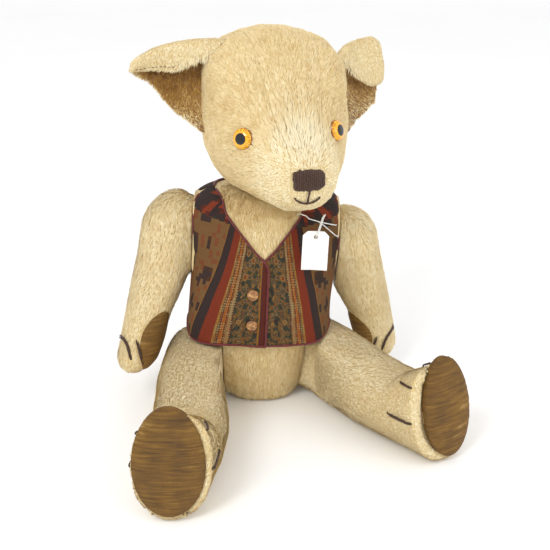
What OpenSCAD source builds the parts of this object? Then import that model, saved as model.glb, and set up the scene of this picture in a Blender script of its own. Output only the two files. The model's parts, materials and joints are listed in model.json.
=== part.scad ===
// Disc-jointed teddy bear, seated, with a waistcoat and a strung ticket.
// The bear faces -Y and sits on z = 0. Its own left side is +X. Millimetres.

/* [Cloth and joints] */
// Thickness of the plush cloth of each cover
cloth = 2; // [1.5:0.1:2.2]
// Play between two pieces that lie against each other
gap = 0.2; // [0.1:0.05:0.25]
// Radius of the fibreboard joint discs
disc_r = 16; // [14:0.5:16]
// Thickness of the fibreboard joint discs
disc_t = 3; // [2:0.5:3]
// Radius of the cotter pins
pin_r = 1.5; // [1.2:0.1:2]

/* [Torso] */
// Height of the neck joint above the seat, along the torso
torso_h = 198; // [194:1:202]
// Lean of the torso towards its own left
torso_lean = 2.5; // [1:0.5:4]
// Half width of the belly
belly_half_w = 63; // [60:1:64]
// Half depth of the belly
belly_half_d = 58; // [54:1:62]
// Distance from the middle of the torso to each shoulder joint
shoulder_face = 65; // [64:0.5:66]
// Height of the right shoulder joint, along the torso
shoulder_right_h = 163; // [160:1:165]
// Height of the left shoulder joint, along the torso
shoulder_left_h = 154; // [151:1:158]
// Distance from the middle of the torso to the right hip joint
hip_right_face = 32; // [30:1:34]
// Distance from the middle of the torso to the left hip joint
hip_left_face = 16; // [15:1:18]
// Height of the hip joints
hip_h = 40; // [39:0.5:42]

/* [Head] */
// Half width of the head at the cheeks
head_half_w = 60; // [56:1:62]
// Height of the head above the neck joint
head_h = 138; // [132:1:142]
// Reach of the nose in front of the neck joint
muzzle_reach = 100; // [94:1:104]
// Turn of the head towards the bear's left
head_turn = 19; // [0:1:30]
// Radius of the glass eyes
eye_r = 9; // [7:0.5:9.5]
// Radius of each ear
ear_r = 40; // [36:1:42]

/* [Arms] */
// Distance from a shoulder joint to the paw tip
arm_reach = 140; // [134:1:144]
// Forward swing of the right arm
arm_right_swing = 10; // [4:1:14]
// Forward swing of the left arm, negative is backward
arm_left_swing = -25; // [-30:1:-20]
// Outward splay of the left arm
arm_left_splay = 6; // [3:1:8]

/* [Legs] */
// Distance from a hip joint to the sole
leg_reach = 200; // [194:1:206]
// Forward set of the right hip joint
hip_right_fwd = 25; // [22:1:28]
// Forward set of the left hip joint, along its leg
hip_left_fwd = 6; // [3:1:9]
// Splay of the left leg, from straight ahead
leg_left_splay = 35; // [33:1:37]
// Backward tilt of each sole
sole_tilt = 12; // [8:1:15]

/* [Waistcoat] */
// Thickness of the waistcoat cloth
vest_t = 1.4; // [1:0.1:1.6]
// Height of the waistcoat hem, along the torso
hem_h = 69; // [66:1:76]
// Height of the lowest point of the neck opening
neckline_h = 141; // [134:1:148]
// Half width of the neck opening at the shoulders
neckline_half_w = 41; // [38:1:44]

/* [Ticket] */
// Width of the ticket
ticket_w = 22; // [20:1:24]
// Height of the ticket
ticket_h = 35; // [32:1:38]

/* [Hidden] */
$fn = 48;
big = 400;
ring_count = 15;
side_count = 24;
roundness = 2.35;
end_size = 0.06;
soften = 7;
clear = 0.05;
washer_r = 8;
washer_t = 1;
lining = 0.3;

// Layers of a joint, measured from its plane
cover_out = gap;
disc_from = cover_out + cloth + gap;
washer_from = disc_from + disc_t + gap;
pin_from = washer_from + washer_t + gap;
pin_head_t = 2.4;
joint_room = pin_from + pin_head_t + 1;

// How far out from its hip plane the middle of a foot is
foot_mid_x = 32;

// Each form is [low, high, low cap, high cap, half x, half y, middle x, middle y]
TORSO = [
  -14, torso_h + 3, 30, 24,
  [[0, 38], [60, 50], [80, belly_half_w - 1], [98, belly_half_w], [125, belly_half_w + 2],
    [150, shoulder_face + 5], [180, shoulder_face + 8], [torso_h, shoulder_face + 4]],
  [[0, 42], [45, 52], [85, belly_half_d], [112, belly_half_d], [150, 51], [torso_h, 44]],
  [[0, 0], [75, -4], [110, -3], [150, 0], [torso_h, 0]],
  [[0, -3], [90, -5], [150, 0], [torso_h, 4]]
];
HEAD = [
  -60, muzzle_reach, 52, 16,
  [[-60, head_half_w - 4], [-20, head_half_w], [22, head_half_w], [42, head_half_w - 4],
    [58, head_half_w - 12], [74, 36], [muzzle_reach, 25]],
  [[-60, 60], [-20, head_h / 2 + 4], [15, head_h / 2 + 4], [36, 64], [52, 53], [66, 41], [80, 32],
    [muzzle_reach, 24]],
  [[-60, 0], [muzzle_reach, 0]],
  [[-60, 66], [-20, head_h / 2 - 4], [15, head_h / 2 - 4], [36, 62], [52, 51], [66, 40], [80, 31],
    [muzzle_reach, 26]]
];
ARM = [
  -26, arm_reach, 26, 20,
  [[-26, 22], [0, 27], [45, 26], [90, 21], [arm_reach, 18]],
  [[-26, 23], [0, 28], [45, 25], [90, 23], [arm_reach, 22]],
  [[-26, 15], [0, 19.5], [40, 25], [85, 38], [arm_reach, 50]],
  [[-26, 0], [0, 0], [50, 3], [95, 12], [arm_reach, 25]]
];
LEG = [
  -30, leg_reach + 12, 28, 6,
  [[-32, 31], [0, 34], [50, 35], [110, 32], [150, 30], [178, 31], [leg_reach, 33]],
  [[-32, 31], [0, 33], [60, 33], [110, 31], [148, 30], [166, 35], [180, 43], [leg_reach, 47.5]],
  [[-32, 19], [0, 20], [50, 22], [110, 22], [150, 23], [leg_reach, foot_mid_x]],
  [[-32, -3], [0, -4], [60, -4], [110, -6], [148, -6], [166, -2], [180, 5], [leg_reach, 8]]
];

// Places of the joints and of the parts that ride on the torso or head
module at_torso() { rotate([0, torso_lean, 0]) children(); }
module at_neck() { at_torso() translate([0, 0, torso_h]) children(); }
module at_head() { at_neck() rotate([0, 0, head_turn]) children(); }
module on_side(side) { mirror([side < 0 ? 1 : 0, 0, 0]) children(); }
module at_shoulder(side) {
  height = side < 0 ? shoulder_right_h : shoulder_left_h;
  at_torso() translate([side * shoulder_face, 0, height]) on_side(side) children();
}
// The left arm sits deeper on its joint and splays outward below it
arm_left_tuck = 11;
module at_arm(side) {
  swing = side < 0 ? arm_right_swing : arm_left_swing;
  splay = side < 0 ? 0 : arm_left_splay;
  tuck = side < 0 ? 0 : arm_left_tuck;
  at_shoulder(side) rotate([-swing, 0, 0]) mirror([0, 0, 1]) mirror([0, 1, 0])
    translate([-tuck, 0, 0]) rotate([0, splay, 0]) children();
}
module at_hip(side) {
  splay = side < 0 ? 0 : leg_left_splay;
  forward = side < 0 ? hip_right_fwd : hip_left_fwd;
  face = side < 0 ? hip_right_face : hip_left_face;
  rotate([0, 0, splay]) translate([side * face, -forward, hip_h]) on_side(side) children();
}
// The leg form runs along +Z with +Y up, so it is laid down towards -Y
module at_leg(side) { at_hip(side) rotate([90, 0, 0]) children(); }

// Smoothed lookup, rounded ends and squarish sections
function smooth(z, table) =
  (lookup(z - soften, table) + 2 * lookup(z, table) + lookup(z + soften, table)) / 4;
function dome(d, cap) = d >= cap ? 1 : sqrt(max(0, 1 - pow(1 - d / cap, 2)));
function squarish(v) = sign(v) * pow(abs(v), 2 / roundness);

// A closed soft form along +Z; grow moves its whole surface outward
module soft_form(form, grow = 0) {
  low = form[0] - grow;
  high = form[1] + grow;
  heights = [for (i = [0:ring_count]) low + (high - low) * (1 - cos(180 * i / ring_count)) / 2];
  points = [
    for (z = heights)
      let (s = max(end_size, dome(z - low, form[2]) * dome(high - z, form[3])))
        for (k = [0:side_count - 1])
          let (a = 360 * (k + 0.5) / side_count)
            [
              smooth(z, form[6]) + s * (smooth(z, form[4]) + grow) * squarish(cos(a)),
              smooth(z, form[7]) + s * (smooth(z, form[5]) + grow) * squarish(sin(a)),
              z
            ]
  ];
  walls = [
    for (i = [0:ring_count - 1], k = [0:side_count - 1])
      let (n = (k + 1) % side_count, a = i * side_count, b = a + side_count)
        each [[a + k, b + k, b + n], [a + k, b + n, a + n]]
  ];
  first = [for (k = [0:side_count - 1]) k];
  last = [for (k = [side_count - 1:-1:0]) ring_count * side_count + k];
  polyhedron(points, concat([first], walls, [last]), convexity = 4);
}

// What lies inside a limb's joint plane, within some reach of the joint, is cut away
module inside_joint(face, reach) { translate([face - big, -reach, -reach]) cube([big, 2 * reach, 2 * reach]); }

// Room that the joint hardware takes inside a limb or the torso, from the joint plane
module hardware_room() { translate([0, 0, cover_out + cloth]) cylinder(h = joint_room, r = disc_r + 1); }

// Each hip flat on the torso rises this far above its joint
hip_flat_h = 38;
module torso_form(inset) {
  difference() {
    intersection() {
      at_torso() soft_form(TORSO, -inset);
      translate([-big, -big, inset]) cube(2 * big);
      at_torso() translate([-shoulder_face + gap + inset, -big, -big])
        cube([2 * (shoulder_face - gap - inset), 2 * big, big + torso_h - gap - inset]);
    }
    for (side = [-1, 1])
      at_hip(side) translate([-gap - inset, -big, -big]) cube([big, 2 * big, big + hip_flat_h + inset]);
  }
}
module torso_joints() {
  at_neck() children();
  for (side = [-1, 1]) {
    at_shoulder(side) rotate([0, 90, 0]) children();
    at_hip(side) rotate([0, 90, 0]) children();
  }
}
module pin_hole() { translate([0, 0, -30]) cylinder(h = 60, r = pin_r + clear); }

module torso_cover() {
  color("wheat") difference() {
    torso_form(0);
    torso_form(cloth);
    torso_joints() pin_hole();
  }
}
module torso_stuffing() {
  color("ivory") difference() {
    torso_form(cloth + gap);
    torso_joints() mirror([0, 0, 1]) hardware_room();
  }
}

// Joint hardware, in the frame of a joint: +Z points from the torso into the limb
module disc() {
  difference() {
    translate([0, 0, disc_from]) cylinder(h = disc_t, r = disc_r);
    pin_hole();
  }
}
module washer() {
  difference() {
    translate([0, 0, washer_from]) cylinder(h = washer_t, r = washer_r);
    pin_hole();
  }
}
module cotter_pin() {
  for (end = [0, 1])
    mirror([0, 0, end]) translate([0, 0, pin_from]) cylinder(h = pin_head_t, r = 2.4 * pin_r);
  translate([0, 0, -pin_from - 0.5]) cylinder(h = 2 * pin_from + 1, r = pin_r);
}
module torso_discs() { color("peru") torso_joints() mirror([0, 0, 1]) disc(); }
module torso_washers() { color("silver") torso_joints() mirror([0, 0, 1]) washer(); }
module joint_pins() { color("silver") torso_joints() cotter_pin(); }

module head_form(grow) {
  intersection() {
    at_head() rotate([90, 0, 0]) soft_form(HEAD, grow);
    at_neck() translate([-big, -big, gap - grow]) cube(2 * big);
  }
}
module head_cover() {
  color("wheat") difference() {
    head_form(0);
    head_form(-cloth);
    at_neck() pin_hole();
    for (side = [-1, 1]) eye_socket(side);
  }
}
module head_stuffing() {
  color("ivory") difference() {
    head_form(-cloth - gap);
    at_neck() hardware_room();
    for (side = [-1, 1]) eye_socket(side);
  }
}
module neck_disc() { color("peru") at_neck() disc(); }
module neck_washer() { color("silver") at_neck() washer(); }

// An eye looks out along +Z from the face, with its flat back sunk into the head
eye_back = 2.2;
// Each eye's place, as [outward, back, up]. The left one is set higher and closer in
eye_right_place = [42.8, -58.6, 56.6];
eye_left_place = [33.9, -65.8, 61.9];
module at_eye(side) {
  place = side < 0 ? eye_right_place : eye_left_place;
  at_head() on_side(side) translate(place) rotate([78, 0, 38]) children();
}
module eye_socket(side) {
  at_eye(side) {
    translate([0, 0, eye_back - gap]) cylinder(h = 20, r = eye_r);
    cylinder(h = 30, r = 1.2, center = true);
  }
}
module eye(side) {
  color("orange") at_eye(side) {
    difference() {
      translate([0, 0, -1]) sphere(r = eye_r);
      translate([0, 0, eye_back - big]) cube(2 * big, center = true);
    }
    translate([0, 0, -12]) cylinder(h = 15, r = 1);
  }
}
module eye_right() { eye(-1); }
module eye_left() { eye(1); }

// A patch is a thin layer on a form, cut to an outline
module head_patch(t) {
  intersection() {
    difference() {
      at_head() rotate([90, 0, 0]) soft_form(HEAD, gap + t);
      at_head() rotate([90, 0, 0]) soft_form(HEAD, gap);
    }
    at_head() children();
  }
}
nose_h = 30;
nose_w = 26;
module nose_stitching() {
  color("saddlebrown") head_patch(2)
    translate([-nose_w / 2, -muzzle_reach - 20, nose_h - 8]) cube([nose_w, 44, 17]);
}
module mouth_stitching() {
  color("saddlebrown") head_patch(1)
    translate([-0.8, -muzzle_reach - 20, nose_h - 20]) cube([1.6, 60, 11]);
}

// An ear is a dished flap: a slice of a hollow ball, cut to a half round
ear_ball_r = 62;
ear_dish = 14;
ear_t = 6;
module ear_flap() {
  intersection() {
    translate([0, ear_dish - ear_ball_r, 0]) difference() {
      sphere(r = ear_ball_r);
      sphere(r = ear_ball_r - ear_t);
    }
    rotate([90, 0, 0]) cylinder(h = 80, r = ear_r, center = true);
  }
}
ear_tip = 10;
module at_ear(side, place, turn) {
  at_head() on_side(side) translate(place) rotate([0, -ear_tip, 0]) rotate([0, 0, turn]) children();
}
module ear_right() {
  color("burlywood") difference() {
    at_ear(-1, [79, 14, 90], 4) ear_flap();
    head_form(gap);
  }
}
module ear_left() {
  color("burlywood") difference() {
    at_ear(1, [83, 20, 85], 34) ear_flap();
    head_form(gap);
  }
}

module arm_form(side, inset) {
  difference() {
    at_arm(side) soft_form(ARM, -inset);
    at_shoulder(side) inside_joint(cover_out + inset, big);
  }
}
module arm_cover(side) {
  color("wheat") difference() {
    arm_form(side, 0);
    arm_form(side, cloth);
    at_shoulder(side) rotate([0, 90, 0]) pin_hole();
  }
}
module arm_stuffing(side) {
  color("ivory") difference() {
    arm_form(side, cloth + gap);
    at_shoulder(side) rotate([0, 90, 0]) hardware_room();
  }
}
module shoulder_disc(side) { color("peru") at_shoulder(side) rotate([0, 90, 0]) disc(); }
module shoulder_washer(side) { color("silver") at_shoulder(side) rotate([0, 90, 0]) washer(); }

module arm_layer(side, from, t) {
  at_arm(side) difference() {
    soft_form(ARM, from + t);
    soft_form(ARM, from);
  }
}
// The paw pad faces forward and inward
paw_pad_half_w = 13;
paw_pad_half_h = 27;
module at_paw(side) {
  at_arm(side) translate([34, 20, arm_reach - 34]) rotate([0, 20, 0]) rotate([0, 0, 28]) children();
}
module paw_outline() {
  rotate([-90, 0, 0]) linear_extrude(60)
    polygon([for (a = [0:15:345]) [paw_pad_half_w * cos(a), paw_pad_half_h * sin(a)]]);
}
module paw_pad(side) {
  color("sienna") intersection() {
    arm_layer(side, gap, 1.4);
    at_paw(side) paw_outline();
  }
}
module paw_claws(side) {
  color("saddlebrown") difference() {
    intersection() {
      arm_layer(side, gap, 1);
      at_paw(side) for (x = [18, 27]) translate([x, -20, 2]) rotate([0, -28, 0]) cube([1.6, 60, 22]);
    }
    at_paw(side) paw_outline();
  }
}

// The sole is a flat cut, tilted back
sole_low = -39;
module beyond_sole(shift) {
  translate([0, sole_low, leg_reach + shift]) rotate([-sole_tilt, 0, 0]) translate([-big, -big, 0]) cube(2 * big);
}
// How far from the hip joint a leg's inner side is cut flat
leg_joint_reach = 55;
module leg_form(side, inset) {
  difference() {
    at_leg(side) soft_form(LEG, -inset);
    at_leg(side) beyond_sole(-inset);
    at_hip(side) inside_joint(cover_out + inset, leg_joint_reach);
  }
}
foot_pad_half_w = 28.5;
foot_pad_half_h = 44;
foot_pad_t = 1.6;
module foot_outline(shrink, from, t) {
  translate([foot_mid_x, sole_low, leg_reach]) rotate([-sole_tilt, 0, 0]) translate([0, 47, from]) linear_extrude(t)
    polygon([for (a = [0:12:348])
      [(foot_pad_half_w - shrink) * cos(a) * (1 - 0.08 * sin(a)), (foot_pad_half_h - shrink) * sin(a)]]);
}
module leg_cover(side) {
  color("wheat") difference() {
    leg_form(side, 0);
    leg_form(side, cloth);
    at_hip(side) rotate([0, 90, 0]) pin_hole();
    at_leg(side) foot_outline(6, -cloth - 1, cloth + 2);
  }
}
module leg_stuffing(side) {
  color("ivory") difference() {
    leg_form(side, cloth + gap);
    at_hip(side) rotate([0, 90, 0]) hardware_room();
    at_leg(side) foot_outline(5, -cloth - 3, 6);
  }
}
module foot_pad(side) { color("sienna") at_leg(side) foot_outline(0, gap, foot_pad_t); }
module foot_card(side) { color("tan") at_leg(side) foot_outline(9, -cloth - 1.4, 1.2); }
module hip_disc(side) { color("peru") at_hip(side) rotate([0, 90, 0]) disc(); }
module hip_washer(side) { color("silver") at_hip(side) rotate([0, 90, 0]) washer(); }
module foot_claws(side) {
  color("saddlebrown") intersection() {
    at_leg(side) difference() {
      soft_form(LEG, gap + 1);
      soft_form(LEG, gap);
      beyond_sole(-0.5);
    }
    at_leg(side) for (a = [-100, -52, 0, 52, 100])
      translate([foot_mid_x, 8, leg_reach - 36]) rotate([0, 0, a]) translate([-0.8, 0, 0]) cube([1.6, 70, 60]);
  }
}

// The waistcoat is a layer on the torso, cut at the hem, neck, armholes and side seams
module vest_layer() {
  intersection() {
    difference() {
      soft_form(TORSO, lining + vest_t);
      soft_form(TORSO, lining);
    }
    translate([-shoulder_face + gap, -big, hem_h]) cube([2 * (shoulder_face - gap), 2 * big, torso_h - hem_h - 4]);
  }
}
module neck_opening() {
  rotate([90, 0, 0]) linear_extrude(big)
    polygon([[0, neckline_h], [neckline_half_w, torso_h], [neckline_half_w, big],
      [-neckline_half_w, big], [-neckline_half_w, torso_h]]);
  translate([-neckline_half_w, -1, torso_h - 14]) cube([2 * neckline_half_w, big, big]);
}
armhole_r = 25;
module armholes() {
  for (side = [-1, 1])
    translate([side * shoulder_face, 0, side < 0 ? shoulder_right_h : shoulder_left_h])
      rotate([0, 90, 0]) cylinder(h = 24, r = armhole_r, center = true);
}
// The hem is cut back where a thigh turns beside it and where it lies on a thigh
thigh_turn_r = 34;
thigh_top = 30.5;
thigh_in = 15;
module thigh_room() {
  for (side = [-1, 1])
    at_hip(side) {
      rotate([0, 90, 0]) cylinder(h = big, r = thigh_turn_r);
      translate([-thigh_in, -big, 0]) cube([big, big, thigh_top]);
    }
}
seam_half_w = 80;
front_overlap = 5;
module vest_panel(x, y) {
  difference() {
    at_torso() difference() {
      intersection() {
        vest_layer();
        translate([x[0], y[0], 0]) cube([x[1] - x[0], y[1] - y[0], big]);
      }
      neck_opening();
      armholes();
    }
    thigh_room();
  }
}
module vest_back() { color("rosybrown") vest_panel([-seam_half_w, seam_half_w], [gap, 90]); }
module vest_front_right() { color("indianred") vest_panel([-seam_half_w, -gap], [-90, 0]); }
module vest_front_left() { color("steelblue") vest_panel([0, seam_half_w], [-90, 0]); }

button_r = 5;
button_t = 3;
module vest_buttons() {
  color("goldenrod") at_torso() for (h = [116, 89])
    translate([-9, -65 - vest_t - lining - 1.6, h]) rotate([90, 0, 0]) difference() {
      translate([0, 0, -button_r + button_t]) sphere(r = 1.15 * button_r);
      translate([0, 0, -big]) cube(2 * big, center = true);
    }
}

// The ticket hangs from a string looped round the left strap
ticket_x = 42;
ticket_y = -60;
ticket_top = 176;
string_r = 0.5;
corner = 4;
module ticket() {
  color("white") at_torso() translate([ticket_x, ticket_y, ticket_top]) rotate([90, 0, 0]) linear_extrude(0.5)
    difference() {
      polygon([[-ticket_w / 2, -ticket_h], [ticket_w / 2, -ticket_h], [ticket_w / 2, -corner],
        [ticket_w / 2 - corner, 0], [-ticket_w / 2 + corner, 0], [-ticket_w / 2, -corner]]);
      translate([0, -5]) circle(r = 1.8);
    }
}

// The string runs from the ticket hole up to a small eye in front of the strap
string_rise = 17;
string_side = 6;
string_eye_r = 3;
module ticket_string() {
  length = norm([string_rise, string_side]);
  color("white") at_torso() translate([ticket_x, ticket_y + 1, ticket_top - 5])
    rotate([0, atan2(string_side, string_rise), 0]) {
      translate([0, 0, -0.8]) cylinder(h = length - string_eye_r + 1.3, r = string_r);
      translate([0, 0, length]) rotate([90, 0, 0]) difference() {
        cylinder(h = 1.2, r = string_eye_r, center = true);
        cylinder(h = 2, r = string_eye_r - 1, center = true);
      }
    }
}

module arm_cover_right() { arm_cover(-1); }
module arm_cover_left() { arm_cover(1); }
module arm_stuffing_right() { arm_stuffing(-1); }
module arm_stuffing_left() { arm_stuffing(1); }
module paw_pad_right() { paw_pad(-1); }
module paw_pad_left() { paw_pad(1); }
module paw_claws_right() { paw_claws(-1); }
module paw_claws_left() { paw_claws(1); }
module shoulder_disc_right() { shoulder_disc(-1); }
module shoulder_disc_left() { shoulder_disc(1); }
module shoulder_washer_right() { shoulder_washer(-1); }
module shoulder_washer_left() { shoulder_washer(1); }
module leg_cover_right() { leg_cover(-1); }
module leg_cover_left() { leg_cover(1); }
module leg_stuffing_right() { leg_stuffing(-1); }
module leg_stuffing_left() { leg_stuffing(1); }
module foot_pad_right() { foot_pad(-1); }
module foot_pad_left() { foot_pad(1); }
module foot_card_right() { foot_card(-1); }
module foot_card_left() { foot_card(1); }
module foot_claws_right() { foot_claws(-1); }
module foot_claws_left() { foot_claws(1); }
module hip_disc_right() { hip_disc(-1); }
module hip_disc_left() { hip_disc(1); }
module hip_washer_right() { hip_washer(-1); }
module hip_washer_left() { hip_washer(1); }

torso_cover();
torso_stuffing();
torso_discs();
torso_washers();
joint_pins();
head_cover();
head_stuffing();
neck_disc();
neck_washer();
eye_right();
eye_left();
nose_stitching();
mouth_stitching();
ear_right();
ear_left();
arm_cover_right();
arm_stuffing_right();
paw_pad_right();
paw_claws_right();
shoulder_disc_right();
shoulder_washer_right();
arm_cover_left();
arm_stuffing_left();
paw_pad_left();
paw_claws_left();
shoulder_disc_left();
shoulder_washer_left();
leg_cover_right();
leg_stuffing_right();
foot_pad_right();
foot_card_right();
foot_claws_right();
hip_disc_right();
hip_washer_right();
leg_cover_left();
leg_stuffing_left();
foot_pad_left();
foot_card_left();
foot_claws_left();
hip_disc_left();
hip_washer_left();
vest_back();
vest_front_right();
vest_front_left();
vest_buttons();
ticket();
ticket_string();
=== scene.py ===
"""Looks of a disc-jointed teddy bear in a woven waistcoat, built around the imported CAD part."""

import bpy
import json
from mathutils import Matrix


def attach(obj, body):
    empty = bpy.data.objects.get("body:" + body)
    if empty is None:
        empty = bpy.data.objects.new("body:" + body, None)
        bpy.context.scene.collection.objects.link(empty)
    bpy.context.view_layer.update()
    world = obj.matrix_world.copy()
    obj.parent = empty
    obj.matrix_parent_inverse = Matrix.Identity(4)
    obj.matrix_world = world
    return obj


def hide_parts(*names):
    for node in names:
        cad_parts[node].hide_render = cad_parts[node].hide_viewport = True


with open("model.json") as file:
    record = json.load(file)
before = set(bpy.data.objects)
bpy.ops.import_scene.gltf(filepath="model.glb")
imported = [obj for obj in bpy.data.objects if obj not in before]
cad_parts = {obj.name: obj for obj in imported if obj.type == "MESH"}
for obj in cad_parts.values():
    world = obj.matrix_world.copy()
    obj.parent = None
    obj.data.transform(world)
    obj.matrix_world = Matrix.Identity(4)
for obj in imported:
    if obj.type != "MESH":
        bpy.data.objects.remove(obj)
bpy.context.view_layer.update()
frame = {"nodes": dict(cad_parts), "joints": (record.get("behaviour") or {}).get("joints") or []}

import json
import math

import bmesh
import bpy
import numpy as np
from mathutils import Matrix, Vector
from mathutils.bvhtree import BVHTree
from mathutils.kdtree import KDTree

MM = 0.001
NODES = frame["nodes"]
JOINTS = {j["name"]: j for j in frame["joints"]}
SIDES = ("right", "left")


# ---------------------------------------------------------------- places and axes
def unit(v):
    v = np.asarray(v, float)
    return v / np.maximum(np.linalg.norm(v, axis=-1, keepdims=True), 1e-12)


def points_of(mesh):
    co = np.empty(len(mesh.vertices) * 3)
    mesh.vertices.foreach_get("co", co)
    return co.reshape(-1, 3)


def normals_of(mesh):
    n = np.empty(len(mesh.vertices) * 3)
    mesh.vertex_normals.foreach_get("vector", n)
    return n.reshape(-1, 3)


def set_points(mesh, p):
    mesh.vertices.foreach_set("co", p.ravel())
    mesh.update()


def node_points(name):
    return points_of(NODES[name].data)


class Axes:
    """A local frame: an origin and three unit rows."""

    def __init__(self, origin, x, z):
        self.o = np.asarray(origin, float)
        z = unit(z)
        x = unit(np.asarray(x) - np.dot(x, z) * z)
        self.r = np.array([x, np.cross(z, x), z])

    def local(self, p):
        return (np.asarray(p) - self.o) @ self.r.T

    def world(self, q):
        return np.asarray(q) @ self.r + self.o

    def turn(self, d):
        return np.asarray(d) @ self.r


def joint_place(name):
    return np.array(JOINTS[name]["pos_m"]), unit(JOINTS[name]["axis"])


def joint_side(name, inside):
    """A joint's place, and its axis turned towards a point."""
    o, axis = joint_place(name)
    return o, axis * np.sign(np.dot(inside - o, axis))


NECK, UP = joint_place("neck_turn")
TORSO = Axes((0, 0, 0), -joint_place("shoulder_right")[1], UP)
nose_points = node_points("nose_stitching")
HEAD = Axes(NECK, np.cross(UP, (nose_points.min(0) + nose_points.max(0)) / 2 - NECK), UP)


def spread(p):
    """Middle and main directions of a cloud of points, the longest direction first."""
    mid = (p.min(0) + p.max(0)) / 2
    _, _, rows = np.linalg.svd(p - p.mean(0), full_matrices=False)
    return mid, rows


def smoothstep(x, low, high):
    t = np.clip((np.asarray(x, float) - low) / (high - low), 0, 1)
    return t * t * (3 - 2 * t)


class Ripple:
    """Smooth noise from a few seeded sine waves, about -1 to 1, with a chosen wavelength in metres."""

    def __init__(self, seed, wavelength, waves=9):
        rng = np.random.default_rng(seed)
        around = unit(rng.normal(size=(waves, 3)))
        self.k = around * rng.uniform(0.6, 1.5, (waves, 1)) * 2 * math.pi / wavelength
        self.phase = rng.uniform(0, 2 * math.pi, waves)
        self.gain = 1.6 / waves

    def __call__(self, p):
        return np.sin(np.asarray(p) @ self.k.T + self.phase).sum(-1) * self.gain


# ---------------------------------------------------------------- meshes
PLY_DEPTH = 0.16


def band(first, second, count, closed=True):
    """Faces between two rows of points, given the number of each row's first point."""
    steps = [(k, (k + 1) % count) for k in range(count if closed else count - 1)]
    return [(first + k, first + m, second + m, second + k) for k, m in steps]


class Build:
    """Gathers vertices and faces for one mesh."""

    def __init__(self):
        self.v, self.f = [], []

    def add(self, verts, faces):
        start = len(self.v)
        self.v += [tuple(map(float, p)) for p in verts]
        self.f += [tuple(i + start for i in face) for face in faces]

    def tube(self, path, radius, sides=8, closed=False, twist=0.0):
        """A round tube along a path. With a twist its section has two lobes, which turn like plied thread."""
        path = np.asarray(path, float)
        n = len(path)
        radius = np.broadcast_to(radius, n)
        ahead = np.roll(path, -1, 0) - np.roll(path, 1, 0)
        if not closed:
            ahead[0], ahead[-1] = path[1] - path[0], path[-1] - path[-2]
        ahead = unit(ahead)
        side = unit(np.cross(ahead[0], (0.31, 0.87, 0.39)))
        rings = []
        for i in range(n):
            side = unit(side - np.dot(side, ahead[i]) * ahead[i])
            other = np.cross(ahead[i], side)
            a = np.arange(sides) * 2 * math.pi / sides
            lobes = 1 + PLY_DEPTH * np.cos(2 * a - twist * i) if twist else 1.0
            ring = (np.cos(a) * lobes)[:, None] * side + (np.sin(a) * lobes)[:, None] * other
            rings.append(path[i] + ring * radius[i])
        faces = []
        for i in range(n if closed else n - 1):
            faces += band(i * sides, (i + 1) % n * sides, sides)
        verts = np.concatenate(rings)
        if not closed:
            ends = [path[0] - ahead[0] * radius[0] * 0.5, path[-1] + ahead[-1] * radius[-1] * 0.5]
            verts = np.concatenate([verts, ends])
            first_end, last_end, last_ring = n * sides, n * sides + 1, (n - 1) * sides
            for k in range(sides):
                m = (k + 1) % sides
                faces.append((first_end, m, k))
                faces.append((last_end, last_ring + k, last_ring + m))
        self.add(verts, faces)

    def lathe(self, profile, origin, axes, sides):
        """Turns (radius, height) pairs about the third row of axes."""
        a = np.arange(sides) * 2 * math.pi / sides
        verts, faces = [], []
        for r, h in profile:
            ring = np.cos(a)[:, None] * axes[0] + np.sin(a)[:, None] * axes[1]
            verts.append(origin + r * ring + h * axes[2])
        for i in range(len(profile) - 1):
            faces += band(i * sides, (i + 1) * sides, sides)
        faces.append(tuple(range(sides - 1, -1, -1)))
        faces.append(tuple((len(profile) - 1) * sides + k for k in range(sides)))
        self.add(np.concatenate(verts), faces)

    def grid(self, points, close_u=False):
        """points has the shape (rows, columns, 3)."""
        rows, cols = points.shape[:2]
        faces = []
        for i in range(rows - 1):
            faces += band(i * cols, (i + 1) * cols, cols, close_u)
        self.add(points.reshape(-1, 3), faces)

    def done(self, name, materials):
        mesh = bpy.data.meshes.new(name)
        mesh.from_pydata(self.v, [], self.f)
        return place(name, mesh, materials)

    def piece(self, name, finish, body, slot, *stands_for):
        settle(self.done(name, [finish]), body, slot, *stands_for)


def place(name, mesh, materials):
    for m in materials:
        mesh.materials.append(m)
    mesh.polygons.foreach_set("use_smooth", [True] * len(mesh.polygons))
    mesh.update()
    ob = bpy.data.objects.new(name, mesh)
    bpy.context.scene.collection.objects.link(ob)
    return ob


def settle(ob, body, slot, *stands_for):
    """Puts the piece on its body, and hides the CAD nodes it stands for. The slot is not used."""
    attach(ob, body)
    if stands_for:
        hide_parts(*stands_for)


def evaluated(ob):
    """The object's mesh with its modifiers applied, and the modifiers gone."""
    graph = bpy.context.evaluated_depsgraph_get()
    mesh = bpy.data.meshes.new_from_object(ob.evaluated_get(graph))
    ob.modifiers.clear()
    old, ob.data = ob.data, mesh
    bpy.data.meshes.remove(old)
    return mesh


def tree_of(mesh):
    return BVHTree.FromPolygons([v.co for v in mesh.vertices], [p.vertices for p in mesh.polygons])


def hit(tree, origin, direction):
    """First point and normal that a ray meets, or the nearest of the surface to its start."""
    spot, normal, _, _ = tree.ray_cast(Vector(origin), Vector(unit(direction)))
    if spot is None:
        return near(tree, origin)
    return np.array(spot), np.array(normal)


def near(tree, p):
    spot, normal, _, _ = tree.find_nearest(Vector(p))
    return np.array(spot), np.array(normal)


def kd_tree(points):
    tree = KDTree(len(points))
    for i, p in enumerate(points):
        tree.insert(p, i)
    tree.balance()
    return tree


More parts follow.
